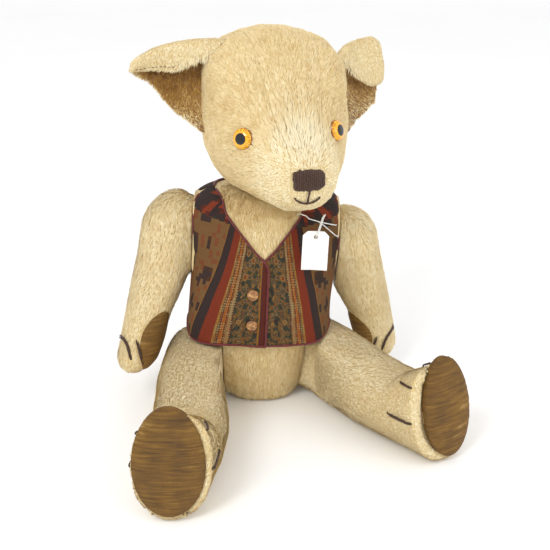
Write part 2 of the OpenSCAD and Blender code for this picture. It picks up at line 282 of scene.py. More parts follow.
def islands(mesh):
    """Vertex numbers of each connected part."""
    parent = list(range(len(mesh.vertices)))

    def root(i):
        while parent[i] != i:
            parent[i] = parent[parent[i]]
            i = parent[i]
        return i

    for e in mesh.edges:
        a, b = root(e.vertices[0]), root(e.vertices[1])
        if a != b:
            parent[a] = b
    groups = {}
    for i in range(len(parent)):
        groups.setdefault(root(i), []).append(i)
    return sorted(groups.values(), key=len, reverse=True)


def solids_of(name):
    """Point clouds of a CAD node's separate solids, whose meshes may be split at sharp edges."""
    p = node_points(name)
    clouds = [p[g] for g in islands(NODES[name].data)]
    merged = []
    for c in clouds:
        for i, m in enumerate(merged):
            if np.linalg.norm(m[:, None, :] - c[None, :60], axis=2).min() < 0.05 * MM:
                merged[i] = np.concatenate([m, c])
                break
        else:
            merged.append(c)
    return merged


# ---------------------------------------------------------------- materials
def rgb(r, g, b):
    """Linear colour of a screen colour."""
    screen = (r / 255, g / 255, b / 255)
    return (*(c / 12.92 if c <= 0.04045 else ((c + 0.055) / 1.055) ** 2.4 for c in screen), 1.0)


def linear(value):
    """Turns a colour's three screen values into a linear colour, and leaves anything else as it is."""
    return rgb(*value) if isinstance(value, tuple) else value


class Sock:
    """A shader socket that can be used in sums."""

    tree = None

    def __init__(self, out):
        self.out = out

    @classmethod
    def node(cls, kind, inputs=(), out=0, **settings):
        n = cls.tree.nodes.new(kind)
        for key, value in settings.items():
            setattr(n, key, value)
        for key, value in dict(inputs).items():
            if isinstance(value, Sock):
                cls.tree.links.new(value.out, n.inputs[key])
            else:
                n.inputs[key].default_value = value
        return cls(n.outputs[out])

    @classmethod
    def calc(cls, how, *values):
        return cls.node("ShaderNodeMath", dict(enumerate(values)), operation=how)


def operator(how, swapped=False):
    """A method of Sock that makes a maths node."""
    def method(self, other=0.0):
        return Sock.calc(how, other, self) if swapped else Sock.calc(how, self, other)
    return method


for sign, how in (("add", "ADD"), ("sub", "SUBTRACT"), ("mul", "MULTIPLY"), ("truediv", "DIVIDE"),
                  ("gt", "GREATER_THAN"), ("lt", "LESS_THAN"), ("abs", "ABSOLUTE")):
    setattr(Sock, f"__{sign}__", operator(how))
    if sign in ("add", "sub", "mul"):
        setattr(Sock, f"__r{sign}__", operator(how, swapped=True))


def sine(x):
    return Sock.calc("SINE", x)


def floor(x):
    return Sock.calc("FLOOR", x)


def between(x, low, high):
    return (x > low) * (x < high)


def scaled(vector, *by):
    """The vector times one number, or times three."""
    factors = by if len(by) == 3 else by * 3
    return Sock.node("ShaderNodeVectorMath", {0: vector, 1: factors}, operation="MULTIPLY")


def noise(vector, scale=1.0, detail=3.0, rough=0.55):
    inputs = {"Vector": vector, "Scale": scale, "Detail": detail, "Roughness": rough}
    return Sock.node("ShaderNodeTexNoise", inputs)


def cells(vector, randomness):
    """Distance from the nearest of a field of points, which stand on a grid when randomness is zero."""
    inputs = {"Vector": vector, "Scale": 1.0, "Randomness": randomness}
    return Sock.node("ShaderNodeTexVoronoi", inputs, feature="F1")


def joined(x, y, z=0.0):
    return Sock.node("ShaderNodeCombineXYZ", {0: x, 1: y, 2: z})


def split(vector):
    node = Sock.node("ShaderNodeSeparateXYZ", {0: vector}).out.node
    return [Sock(out) for out in node.outputs]


def mix(share, a, b):
    return Sock.node("ShaderNodeMix", {0: share, 6: linear(a), 7: linear(b)}, out=2, data_type="RGBA")


def ramp(x, *stops, stepped=False):
    colour = Sock.node("ShaderNodeValToRGB", {0: x})
    scale = colour.out.node.color_ramp
    scale.interpolation = "CONSTANT" if stepped else "LINEAR"
    while len(scale.elements) < len(stops):
        scale.elements.new(0.5)
    for element, (at, value) in zip(scale.elements, stops):
        element.position = at
        element.color = linear(value)
    return colour


def surface(colour, roughness, height, distance, strength):
    """The inputs of a surface whose relief is height, times distance in metres."""
    relief = Sock.node("ShaderNodeBump", {"Height": height, "Distance": distance, "Strength": strength})
    return {"Base_Color": colour, "Roughness": roughness, "Normal": relief}


def material(name, recipe=None, **plain):
    """A material whose Principled inputs come from recipe() and from plain values, colours as on a screen."""
    m = bpy.data.materials.new(name)
    m.use_nodes = True
    Sock.tree = m.node_tree
    shader = m.node_tree.nodes["Principled BSDF"]
    values = dict(plain)
    if recipe:
        values.update(recipe())
    for key, value in values.items():
        key = key.replace("_", " ")
        if isinstance(value, Sock):
            m.node_tree.links.new(value.out, shader.inputs[key])
        else:
            shader.inputs[key].default_value = linear(value)
    return m


def here():
    """Object coordinates, in metres."""
    return Sock.node("ShaderNodeTexCoord", out=3)


def hide_cloth(dark, mid, light):
    """Woven plush backing with short pile on it."""
    def recipe():
        p = here()
        streak = noise(scaled(p, 900, 900, 350), detail=5)
        patch = noise(p, 28, 3)
        colour = ramp(streak * 0.6 + patch * 0.4, (0.30, dark), (0.50, mid), (0.72, light))
        return surface(colour, 0.75 + 0.2 * streak, streak, 0.0012, 0.8)
    return material("hide", recipe, Sheen_Weight=0.25, Sheen_Roughness=0.5)


def velveteen():
    """Brown short nap, rubbed paler along streaks."""
    def recipe():
        p = here()
        streaks = noise(scaled(p, 45, 45, 620), detail=4)
        wear = noise(p, 42, 4)
        nap = noise(p, 1900, 2)
        rub = ramp(streaks * 0.55 + wear * 0.45, (0.34, (70, 46, 12)), (0.50, (108, 76, 22)),
                   (0.60, (130, 95, 34)), (0.70, (176, 144, 84)))
        colour = mix(nap * 0.35, rub, (88, 58, 22))
        ribs = sine(split(p)[2] * 5200) * 0.25 + nap
        return surface(colour, 0.72 + 0.2 * wear, ribs, 0.0005, 0.7)
    return material("velveteen", recipe, Sheen_Weight=0.16, Sheen_Roughness=0.4, Sheen_Tint=(190, 146, 70))


def thread_material(name, dark, light):
    """Plied cotton thread."""
    def recipe():
        p = here()
        x, _, z = split(scaled(p, 2600))
        twist = sine(x + z * 1.4)
        fuzz = noise(p, 900, 3)
        return surface(mix(fuzz, dark, light), 0.42 + 0.25 * fuzz, twist + fuzz, 0.0003, 0.7)
    return material(name, recipe, Sheen_Weight=0.08)


PUPIL_R, SPECKLE_R, IRIS_R = 4.7, 6.3, 8.4      # millimetres


def glass_eye():
    """An amber iris painted behind glass: rays, darker ticks near the rim and a black pupil."""
    def recipe():
        x, y, _ = split(here())
        r = Sock.calc("SQRT", x * x + y * y) * 1000
        angle = Sock.calc("ARCTAN2", y, x)
        rays = noise(joined(angle * 5.5, r * 0.35), 1.6, 4)
        iris = ramp(rays, (0.36, (226, 134, 4)), (0.52, (248, 176, 12)), (0.68, (255, 208, 48)))
        ticks = noise(joined(angle * 9.0, 0.0), 1.3, 2)
        iris = mix((r > SPECKLE_R) * (ticks > 0.55), iris, (92, 46, 8))
        iris = mix(r > IRIS_R, iris, (150, 84, 16))
        colour = mix(r < PUPIL_R, iris, (8, 6, 5))
        return {"Base_Color": colour, "Roughness": 0.10 + 0.05 * rays}
    return material("glass_eye", recipe, Coat_Weight=0.6, Coat_Roughness=0.03, Specular_IOR_Level=0.35)


STRIPES_MM = 90.0                     # the plain stripes' stops are shares of this width
GARDEN, BEADS, SIDE = 4.0, 24.7, 54.3      # where each pattern starts, in millimetres from the closure
BEADS_END = 36.4
YOKE_FROM, YOKE_H = 22, 97
NAVY, TEAL, RED, OCHRE = (34, 42, 68), (32, 84, 90), (178, 60, 34), (200, 150, 70)
CREAM, PURPLE, GREEN, WINE = (214, 196, 160), (92, 44, 78), (88, 100, 62), (122, 34, 40)
RUST = (192, 76, 44)


def tapestry(name, ground, accent):
    """Kilim-like stripes. The attribute cloth holds millimetres across and up, and the side's sign."""
    def recipe():
        a, h, _ = split(Sock.node("ShaderNodeAttribute", out=1, attribute_name="cloth"))
        across = a + (noise(joined(a * 0.05, h * 0.05), 1.0, 2) - 0.5) * 1.5
        a = across * (1 + h * 0.0042)
        # plain stripes, from the closure outward
        stripes = ramp(a / STRIPES_MM, (0.0, WINE), (0.012, PURPLE), (0.026, (206, 150, 64)), (0.044, TEAL),
                       (0.275, (60, 58, 70)), (0.29, CREAM), (0.315, (120, 70, 50)), (0.335, (224, 128, 46)),
                       (0.36, (96, 84, 84)), (0.385, (206, 172, 96)), (0.405, RED), (0.50, NAVY),
                       (0.59, OCHRE), (0.605, ground), stepped=True)
        # leaves and rosettes between the closure and the bead columns
        leaf = cells(joined(a * 0.115, h * 0.10), 0.6)
        swirl = noise(joined(a * 0.19, h * 0.15), 1.0, 4)
        garden = ramp(swirl, (0.0, NAVY), (0.37, TEAL), (0.45, GREEN), (0.48, OCHRE), (0.505, (134, 86, 60)),
                      (0.54, CREAM), (0.56, TEAL), (0.61, (150, 108, 72)), stepped=True)
        garden = mix(between(leaf, 0.20, 0.30), garden, (206, 164, 108))
        garden = mix(leaf < 0.14, garden, RED)
        colour = mix(between(a, GARDEN, BEADS), stripes, garden)
        # beads in the narrow columns
        dots = cells(joined(a * 0.62, h * 0.45), 0.15)
        beads = ramp(noise(joined(a * 0.2, h * 0.1), 1.0), (0.3, (236, 214, 160)), (0.5, (226, 130, 50)),
                     (0.62, (238, 196, 70)), stepped=True)
        colour = mix(between(a, BEADS, BEADS_END) * (dots < 0.33), colour, beads)
        # stepped blocks on the side ground
        block = noise(joined(floor(across / 3.2) * 0.26, floor(h / 3.8) * 0.17), 1.0, 1)
        side = ramp(block, (0.0, accent), (0.40, (96, 62, 50)), (0.415, ground), (0.57, (188, 112, 76)),
                    (0.63, ground), stepped=True)
        braid = sine(a * 2.1 + sine(h * 1.7) * 1.2)
        side = mix(braid * 0.14 + 0.14, side, (110, 72, 52))
        colour = mix(a > SIDE, colour, side)
        # shoulders carry larger stepped blocks
        yoke = noise(joined(floor(across / 3.6) * 0.25, floor(h / 3.6) * 0.27), 1.0, 1)
        top = ramp(yoke, (0.0, RUST), (0.42, WINE), (0.45, NAVY), (0.53, accent), (0.58, TEAL), (0.61, RUST),
                   stepped=True)
        step = YOKE_H + floor(across / 6.0) * 1.2
        colour = mix((h > step) * (across > YOKE_FROM), colour, top)
        # faded threads
        yarn = noise(joined(a * 2.4, h * 6.5), 1.0, 3)
        colour = mix(yarn * 0.26, colour, (176, 140, 112))
        dust = noise(joined(a * 0.08, h * 0.08), 1.0, 3)
        colour = mix(dust * 0.14, colour, (120, 78, 60))
        ribs = sine(h * 5.4) * 0.5 + sine(a * 3.4 + sine(h * 2.7)) * 0.35 + yarn * 0.8
        return surface(scaled(colour, 0.45, 0.38, 0.27), 0.78 + 0.15 * yarn, ribs, 0.0006, 0.8)
    return material(name, recipe, Specular_IOR_Level=0.25)


def lining_cloth():
    def recipe():
        p = here()
        x, _, z = split(p)
        weave = sine(x * 4200) * sine(z * 4200)
        tone = noise(p, 60, 3)
        return surface(mix(tone, (48, 34, 34), (84, 58, 52)), 0.7 + 0.15 * tone, weave, 0.0003, 0.5)
    return material("waistcoat_lining", recipe)


def horn():
    def recipe():
        cloud = noise(scaled(here(), 260, 260, 420), 1.0, 4)
        colour = ramp(cloud, (0.32, (96, 58, 28)), (0.50, (148, 98, 50)), (0.66, (196, 148, 86)))
        return surface(colour, 0.22 + 0.2 * cloud, cloud, 0.0002, 0.3)
    return material("horn", recipe, Coat_Weight=0.5, Coat_Roughness=0.15)


def paper():
    def recipe():
        p = here()
        fibre = noise(p, 700, 4)
        colour = ramp(noise(p, 90, 3), (0.3, (238, 236, 230)), (0.7, (250, 250, 248)))
        return surface(colour, 0.55 + 0.2 * fibre, fibre, 0.00015, 0.4)
    return material("ticket_card", recipe)


def board(name, dark, light, metallic=0.0, rough=0.5):
    def recipe():
        grain = noise(here(), 420, 5)
        return surface(mix(grain, dark, light), rough + 0.25 * grain, grain, 0.0003, 0.4)
    return material(name, recipe, Metallic=metallic)


# mohair and ear nap, from pale to dark
CREAMS = [(244, 232, 198), (237, 221, 179), (229, 207, 158), (216, 189, 134), (194, 160, 100)]
TANS = [(238, 220, 174), (222, 194, 134), (202, 164, 98), (174, 131, 60), (140, 98, 36), (106, 70, 20)]


def pile_material(name, colour):
    return material(name, Base_Color=colour, Roughness=0.72, Sheen_Weight=0.28, Sheen_Roughness=0.35,
                    Sheen_Tint=(250, 232, 190), Specular_IOR_Level=0.28)


MOHAIR = [pile_material(f"mohair_{i + 1}", c) for i, c in enumerate(CREAMS)]
EAR_NAP = [pile_material(f"ear_nap_{i + 1}", c) for i, c in enumerate(TANS)]
HIDE = hide_cloth((184, 152, 96), (212, 188, 134), (232, 214, 166))
EAR_CLOTH = hide_cloth((98, 64, 26), (146, 104, 54), (184, 146, 90))
VELVETEEN = velveteen()
BROWN_THREAD = thread_material("brown_thread", (28, 15, 8), (86, 52, 30))
WHITE_THREAD = thread_material("white_thread", (222, 220, 214), (250, 249, 245))
PAD_THREAD = thread_material("pad_thread", (88, 58, 26), (138, 100, 54))
PIPING = thread_material("piping", (78, 16, 24), (122, 38, 42))
EYE = glass_eye()
TAPESTRY = {"right": tapestry("tapestry_right", (178, 142, 98), (46, 50, 76)),
            "left": tapestry("tapestry_left", (172, 138, 96), (36, 50, 70))}
LINING = lining_cloth()
HORN = horn()
CARD = paper()


# ---------------------------------------------------------------- stuffed skins
VOXEL = 4 * MM
INSET = 3.0 * MM            # how much smaller a skin starts
SWELL = 2.2 * MM            # the furthest that the simulation moves a point
SIM_FRAMES = 20
SKINS = {body: [f"{body}_cover", f"{body}_stuffing"] for body in ("head", "torso")}
for limb in ("arm", "leg"):
    for side in SIDES:
        SKINS[f"{limb}_{side}"] = [f"{limb}_cover_{side}", f"{limb}_stuffing_{side}"]


def evened(mesh, p, rounds, share):
    """Points moved towards the middle of their neighbours, by one share or by a share for each point."""
    e = np.array([x.vertices[:] for x in mesh.edges])
    count = np.maximum(np.bincount(e.ravel(), minlength=len(p)), 1)[:, None]
    for _ in range(rounds):
        total = np.zeros_like(p)
        np.add.at(total, e[:, 0], p[e[:, 1]])
        np.add.at(total, e[:, 1], p[e[:, 0]])
        p = p + share * (total / count - p)
    return p


def blank(name, nodes):
    """One closed, evenly meshed body of the cover and what fills it, a little smaller than the CAD."""
    bm = bmesh.new()
    for n in nodes:
        bm.from_mesh(NODES[n].data)
    mesh = bpy.data.meshes.new(name)
    bm.to_mesh(mesh)
    bm.free()
    ob = place(name, mesh, [])
    remesh = ob.modifiers.new("remesh", "REMESH")
    remesh.mode = "VOXEL"
    remesh.voxel_size = VOXEL
    mesh = evaluated(ob)
    bm = bmesh.new()
    bm.from_mesh(mesh)
    bm.verts.ensure_lookup_table()
    bmesh.ops.delete(bm, geom=[bm.verts[i] for g in islands(mesh)[1:] for i in g], context="VERTS")
    bm.to_mesh(mesh)
    bm.free()
    set_points(mesh, evened(mesh, points_of(mesh), 3, 0.5))
    set_points(mesh, points_of(mesh) - normals_of(mesh) * INSET)
    return ob


def inflate(blanks):
    """Stuffs the skins: a short cloth run under inside pressure, with each point's travel capped."""
    rest = {ob.name: points_of(ob.data) for ob in blanks}
    for ob in blanks:
        cloth = ob.modifiers.new("stuffing", "CLOTH").settings
        cloth.use_pressure = True
        cloth.uniform_pressure_force = 4.0
        cloth.effector_weights.gravity = 0.0
        cloth.quality = 4
        cloth.mass = 0.3
        cloth.tension_stiffness = cloth.compression_stiffness = 12.0
        cloth.bending_stiffness = 1.5
    for f in range(1, SIM_FRAMES + 1):
        bpy.context.scene.frame_set(f)
    for ob in blanks:
        mesh = evaluated(ob)
        move = points_of(mesh) - rest[ob.name]
        far = np.linalg.norm(move, axis=1, keepdims=True)
        set_points(mesh, rest[ob.name] + move * np.minimum(1, SWELL / np.maximum(far, 1e-9)))
    bpy.context.scene.frame_set(1)


blanks = [blank(f"{body}_skin", nodes) for body, nodes in SKINS.items()]
inflate(blanks)


def gusset(q):
    """Signed distance from the head's two gusset seams, for points in the head's frame, in metres."""
    along = np.clip((0.06 - q[:, 1]) / 0.15, 0, 1)
    half = np.interp(along, [0, 0.35, 0.75, 1], [0.020, 0.030, 0.024, 0.013])
    return np.where((q[:, 2] > 0.03) & (q[:, 1] < 0.01), np.abs(q[:, 0]) - half, 1.0)


CONFORM, UNDER = 0.8, 0.9 * MM        # the share of the way that a point is drawn, and the depth drawn to
BACK_OFF, SEARCH, SKIP = 2 * MM, 9 * MM, 0.02 * MM
OUTER_FACE = 0.3                      # the least cosine between the point's normal and the outer face's


def conform(p, n, cover):
    """Draws points towards a place just under the CAD surface outside them."""
    tree = tree_of(NODES[cover].data)
    out = p.copy()
    for i in range(len(p)):
        d = Vector(n[i])
        start, gone = Vector(p[i]) - d * BACK_OFF, 0.0
        for _ in range(4):
            q, face, _, far = tree.ray_cast(start, d, SEARCH - gone)
            if q is None:
                break
            gone += far + SKIP
            if face.dot(d) > OUTER_FACE:
                target = np.array(q) - n[i] * UNDER
                out[i] = p[i] + (target - p[i]) * CONFORM
                break
            start = q + d * SKIP
    return out


LIMB_JOINT = {"arm": "shoulder", "leg": "hip"}
JOINT_GAP = 0.5 * MM
FACE_FADE = 44 * MM, 56 * MM          # the flat face fades out between these distances from the joint
FACE_DEPTH = 3 * MM, 5 * MM           # and between these depths behind its plane
LEG_FADE = 50 * MM, 120 * MM          # a leg leaves the plane gradually between these


def joints_of(body):
    """The joints whose flat faces a skin meets."""
    if body == "head":
        return []
    if body == "torso":
        return [f"{kind}_{side}" for kind in ("shoulder", "hip") for side in SIDES]
    limb, side = body.split("_")
    return [f"{LIMB_JOINT[limb]}_{side}"]


def meet_joints(body, p):
    """Brings the flat faces of a skin up to its joint planes."""
    middle = p.mean(0)
    for joint in joints_of(body):
        o, axis = joint_side(joint, middle)
        d = (p - o) @ axis
        close = 1 - smoothstep(np.linalg.norm(p - o, axis=1), *FACE_FADE)
        move = (d - JOINT_GAP) * (1 - smoothstep(d, *FACE_DEPTH)) * close
        p = p - move[:, None] * axis
        if body.startswith("leg"):
            past = np.minimum((p - o) @ axis - JOINT_GAP, 0)
            far = smoothstep(np.linalg.norm(p - o, axis=1), *LEG_FADE)
            p = p - (past * (1 - far))[:, None] * axis
    return p


BROW_OUT = 5.5 * MM
SOFTEN_ROUNDS = 36


def brow(p, n):
    """The broad top of the head, a little wider than its packed form."""
    q = HEAD.local(p)
    wide = smoothstep(np.abs(q[:, 0]), 0.018, 0.050) * smoothstep(q[:, 2], 0.075, 0.110)
    return p + n * (wide * BROW_OUT)[:, None]


def soften(mesh, p, o):
    """Rounds the step where a leg's flat hip face ends."""
    reach = np.linalg.norm(p - o, axis=1)
    share = smoothstep(reach, 42 * MM, 52 * MM) * (1 - smoothstep(reach, 95 * MM, 120 * MM)) * 0.5
    return evened(mesh, p, SOFTEN_ROUNDS, share[:, None])


SEAM_DEPTH, SEAM_WIDTH = 1.0 * MM, 1.8 * MM
skins, trees = {}, {}
for ob, body in zip(blanks, SKINS):
    set_points(ob.data, evened(ob.data, points_of(ob.data), 2, 0.4))
    ob.modifiers.new("fine", "SUBSURF").levels = 1
    mesh = evaluated(ob)
    ripple = Ripple(len(body), 0.035)
    n = normals_of(mesh)
    p = meet_joints(body, conform(points_of(mesh), n, SKINS[body][0]))
    if body.startswith("leg"):
        p = soften(mesh, p, joint_place(f"hip_{body.split('_')[1]}")[0])
    p = p + n * (ripple(p) * 0.4 * MM)[:, None]
    if body == "head":
        p = brow(p, n)
        d = gusset(HEAD.local(p))
        p = p - n * (SEAM_DEPTH * np.exp(-(d / SEAM_WIDTH) ** 2))[:, None]
    mesh.materials.clear()
    mesh.materials.append(HIDE)
    mesh.polygons.foreach_set("use_smooth", [True] * len(mesh.polygons))
    set_points(mesh, p)
    skins[body], trees[body] = ob, tree_of(mesh)
    settle(ob, body, "plush", *SKINS[body])


# ---------------------------------------------------------------- thread, pads and claws
def surface_path(tree, points, offset):
    out = []
    for p in points:
        q, n = near(tree, p)
        out.append(q + n * offset)
    return np.array(out)


bare = {body: [] for body in SKINS}     # (points, radius): no pile grows there
CLAW_POINTS, CLAW_FINE = 9, 34
CLAW_R = 0.8 * MM
CLAW_LIFT, CLAW_ENDS_SUNK = 1.7 * MM, 1.9 * MM
CLAW_BARE = 2.3 * MM
THREAD_TWIST = 0.9


def claws(limb, side):
    """Claw stitches that follow the CAD solids, as twisted thread on the skin."""
    kind = "paw" if limb == "arm" else "foot"
    body, node = f"{limb}_{side}", f"{kind}_claws_{side}"
    build = Build()
    for cloud in solids_of(node):
        mid, _ = spread(cloud)
        end = cloud[np.linalg.norm(cloud - mid, axis=1).argmax()]
        t = np.linalg.norm(cloud - end, axis=1)
        width = t.max() / 9
        slices = [np.abs(t - step) < width for step in np.linspace(0.05, 0.95, CLAW_POINTS) * t.max()]
        line = np.array([cloud[inside].mean(0) for inside in slices if inside.any()])
        along = np.linspace(0, 1, len(line))
        ends_in = np.linspace(0.04, 0.96, CLAW_POINTS)
        line = np.stack([np.polyval(np.polyfit(along, line[:, k], 2), ends_in) for k in range(3)], 1)
        path = surface_path(trees[body], line, 1.9 * MM)
        for _ in range(2):
            path[1:-1] = (path[:-2] + path[1:-1] * 2 + path[2:]) / 4
        path = surface_path(trees[body], path, CLAW_LIFT)
        for k in (0, -1):
            path[k] -= near(trees[body], path[k])[1] * CLAW_ENDS_SUNK
        coarse, steps = np.linspace(0, 1, len(path)), np.linspace(0, 1, CLAW_FINE)
        fine = np.stack([np.interp(steps, coarse, path[:, k]) for k in range(3)], 1)
        radius = CLAW_R * np.sin(np.linspace(0.35, math.pi - 0.35, CLAW_FINE)) ** 0.5
        build.tube(fine, radius, 9, twist=THREAD_TWIST)
        bare[body].append((fine, CLAW_BARE))
    build.piece(f"{node}_thread", BROWN_THREAD, body, "thread", node)


SOLE_WIDE = {"right": 0.97, "left": 0.84}          # shares of the CAD pad's half width
SOLE_SHIFT = {"right": 0.0, "left": 4.5 * MM}
SOLE_CROWN, SOLE_TUCK = 3.0 * MM, 2.6 * MM
PUCKER = 0.5 * MM


def oval_pad(side):
    """The sole: a crowned velveteen oval with its rim turned under."""
    node, body = f"foot_pad_{side}", f"leg_{side}"
    p = node_points(node)
    mid, rows = spread(p)
    out = rows[2] * np.sign(np.dot(rows[2], mid - joint_place(f"hip_{side}")[0]))
    axes = Axes(mid, np.cross((0, 0, 1), out), np.cross(out, np.cross((0, 0, 1), out)))
    half_w, face, half_h = np.abs(axes.local(p)).max(0) * (SOLE_WIDE[side], 1.0, 0.97)
    dents = Ripple(31 + len(side), 0.022)
    rings, around = 18, 96
    a = np.arange(around) * 2 * math.pi / around
    points = np.empty((rings + 2, around, 3))
    for i in range(rings + 2):
        r = min(1.0, (i + 0.02) / (rings - 1))
        tuck = max(0, i - (rings - 1))
        rise = face + SOLE_CROWN * (1 - r ** 3) - 0.8 * MM * r ** 8 - tuck * SOLE_TUCK
        x = half_w * r * np.cos(a) * (1 - 0.05 * np.sin(a)) + SOLE_SHIFT[side]
        z = half_h * r * np.sin(a)
        flat = axes.world(np.stack([x, np.zeros(around), z], 1))
        lift = rise + dents(flat) * 0.5 * MM * (1 - r ** 4) - PUCKER * np.abs(np.sin(a * 23)) * (r > 0.93)
        points[i] = flat + out * lift[:, None]
    build = Build()
    build.grid(points, close_u=True)
    rim = points[rings - 1] - out * 0.2 * MM
    build.piece(f"sole_{side}", VELVETEEN, body, "pad_velveteen", node)
    stitches = Build()
    for k in range(0, around, 3):
        j = (k + 2) % around
        inner = mid + (rim[k] - mid) * 0.985 + out * 0.4 * MM
        outer = mid + (rim[j] - mid) * 1.008 - out * 1.0 * MM
        top = (inner + outer) / 2 + out * 0.3 * MM
        stitches.tube([inner - out * 0.8 * MM, inner, top, outer], 0.26 * MM, 5)
    stitches.piece(f"sole_stitches_{side}", PAD_THREAD, body, "thread")
    bare[body].append((points[::2, ::2].reshape(-1, 3), 2.0 * MM))


def paw_patch(side):
    """The paw pad: an oval of velveteen that lies on the paw."""
    node, body = f"paw_pad_{side}", f"arm_{side}"
    p = node_points(node)
    mid, rows = spread(p)
    out = near(trees[body], mid)[1]
    tall, wide = rows[0], np.cross(out, rows[0])
    half_h = np.abs((p - mid) @ tall).max() * 0.99
    half_w = np.abs((p - mid) @ wide).max() * 0.88
    rings, around = 13, 60
    a = np.arange(around) * 2 * math.pi / around
    points = np.empty((rings + 1, around, 3))
    for i in range(rings + 1):
        r = min(1.0, (i + 0.02) / (rings - 1))
        for k in range(around):
            flat = wide * half_w * r * math.cos(a[k]) + tall * half_h * r * math.sin(a[k])
            q, n = hit(trees[body], mid + flat + out * 12 * MM, -out)
            points[i, k] = q + n * (1.9 * MM * (1 - r ** 5) + 0.9 * MM - (2.2 * MM if i == rings else 0))
    build = Build()
    build.grid(points, close_u=True)
    build.piece(f"paw_{side}", VELVETEEN, body, "pad_velveteen", node)
    bare[body].append((points[::2, ::2].reshape(-1, 3), 2.9 * MM))


for side in SIDES:
    for limb in ("arm", "leg"):
        claws(limb, side)
    oval_pad(side)
    paw_patch(side)

# the face: satin-stitched nose, mouth and glass eyes
nose_box = HEAD.local(node_points("nose_stitching"))
nose_x = np.abs(nose_box[:, 0]).max()
nose_low, nose_high = nose_box[:, 2].min(), nose_box[:, 2].max()
nose_mid = HEAD.world([0, nose_box[:, 1].min(), (nose_low + nose_high) / 2])
FAR_FRONT = -0.2


def face_point(x, z, offset):
    """A point on the muzzle seen from the front, lifted off the skin."""
    q, n = hit(trees["head"], HEAD.world([x, FAR_FRONT, z]), HEAD.turn([0, 1, 0]))
    return q + n * offset


def stitched_nose():
    """Two layers of upright satin stitches, the upper one between the threads of the lower."""
    build = Build()
    threads, steps, rng = 15, 13, np.random.default_rng(5)
    crown = np.sin(np.linspace(0, math.pi, steps)) ** 0.5
    for layer, lift in ((0, 0.7), (1, 1.5)):
        for i in range(threads):
            s = (i + 0.5 + 0.5 * layer) / threads * 2 - 1
            if abs(s) > 1:
                continue
            x = s * nose_x * 0.97
            corner = 2.4 * MM * max(0, abs(s) - 0.72) / 0.28
            high = nose_high - 0.6 * MM + 0.9 * MM * (1 - s * s) - corner + rng.uniform(-0.5, 0.3) * MM
            low = nose_low + 1.4 * MM + corner * 0.8 + rng.uniform(-0.3, 0.5) * MM
            height = lift * MM + 0.5 * MM * (1 - s ** 4)
            path = [face_point(x + rng.uniform(-0.12, 0.12) * MM, z, height * c + 0.3 * MM)
                    for z, c in zip(np.linspace(high, low, steps), crown)]
            build.tube(path, (0.95 + rng.uniform(-0.1, 0.12)) * MM, 8)
    build.piece("nose_threads", BROWN_THREAD, "head", "thread", "nose_stitching")


MOUTH_DROP, MOUTH_HALF, SMILE = 9.6 * MM, 10.6 * MM, 4.4 * MM


def mouth():
    """A thread down from the nose, and a curved one across its end."""
    build = Build()
    bottom = nose_low - MOUTH_DROP
    drop = np.linspace(nose_low + 1 * MM, bottom, 9)
    line = [face_point(0.15 * MM * math.sin(k), z, 1.5 * MM) for k, z in enumerate(drop)]
    build.tube(line, 0.8 * MM, 8, twist=THREAD_TWIST)
    smile = [face_point(s * MOUTH_HALF, bottom + SMILE * s * s, (1.4 if abs(s) < 0.97 else -0.6) * MM)
             for s in np.linspace(-1, 1, 25)]
    build.tube(smile, 0.75 * MM, 8, twist=THREAD_TWIST)
    bare["head"].append((np.array(line + smile), 1.5 * MM))
    build.piece("mouth_thread", BROWN_THREAD, "head", "thread", "mouth_stitching")


EYE_LOOK = {"right": (-0.602, -0.771, 0.208), "left": (0.690, -0.698, 0.190)}   # in the head's frame
# radius and height in millimetres
EYE_PROFILE = [(8.0, -4.0), (8.7, -1.2), (8.8, 0.0), (8.5, 1.0), (7.7, 2.0), (6.4, 2.9), (4.7, 3.6),
               (2.6, 4.0), (0.4, 4.1)]
EYE_DOME = 5.5 * MM           # the depth of the CAD eye's front that sets its middle
EYE_STAND = 0.9 * MM          # how far the glass stands off the skin
EYE_ROUND = 10 * MM           # the radius of the skin that sets its tilt
EYE_BARE = 9.6 * MM           # the radius without pile


def eye(side):
    """A domed glass eye set on the skin round the middle of the CAD eye."""
    p = node_points(f"eye_{side}")
    look = HEAD.turn(EYE_LOOK[side])
    dome = p[p @ look > (p @ look).max() - EYE_DOME]
    axes = Axes((0, 0, 0), HEAD.turn([1, 0, 0]), look)
    q = axes.local(dome)
    mid = (q.min(0) + q.max(0)) / 2
    centre, _ = hit(trees["head"], axes.world([mid[0], mid[1], q[:, 2].max() + 5 * MM]), -look)
    skin = points_of(skins["head"].data)
    round_eye = np.linalg.norm(skin - centre, axis=1) < EYE_ROUND
    look = unit(normals_of(skins["head"].data)[round_eye].mean(0))
    axes = Axes((0, 0, 0), HEAD.turn([1, 0, 0]), look)
    base = centre + look * (np.median((skin[round_eye] - centre) @ look) + EYE_STAND)
    build = Build()
    build.lathe([(r * MM, h * MM) for r, h in EYE_PROFILE], np.zeros(3), np.eye(3), 48)
    ob = build.done(f"glass_eye_{side}", [EYE])
    ob.matrix_world = Matrix([[*axes.r[:, i], base[i]] for i in range(3)] + [[0, 0, 0, 1]])
    rounding = ob.modifiers.new("round", "SUBSURF")
    rounding.levels = 1
    rounding.render_levels = 1
    settle(ob, "head", "eye_glass", f"eye_{side}")
    bare["head"].append((np.array([base]), EYE_BARE))


stitched_nose()
mouth()
for side in SIDES:
    eye(side)
under_nose = [face_point(x, z, 0) for x in np.linspace(-nose_x, nose_x, 12)
              for z in np.linspace(nose_low, nose_high, 8)]
bare["head"].append((np.array(under_nose), 1.2 * MM))


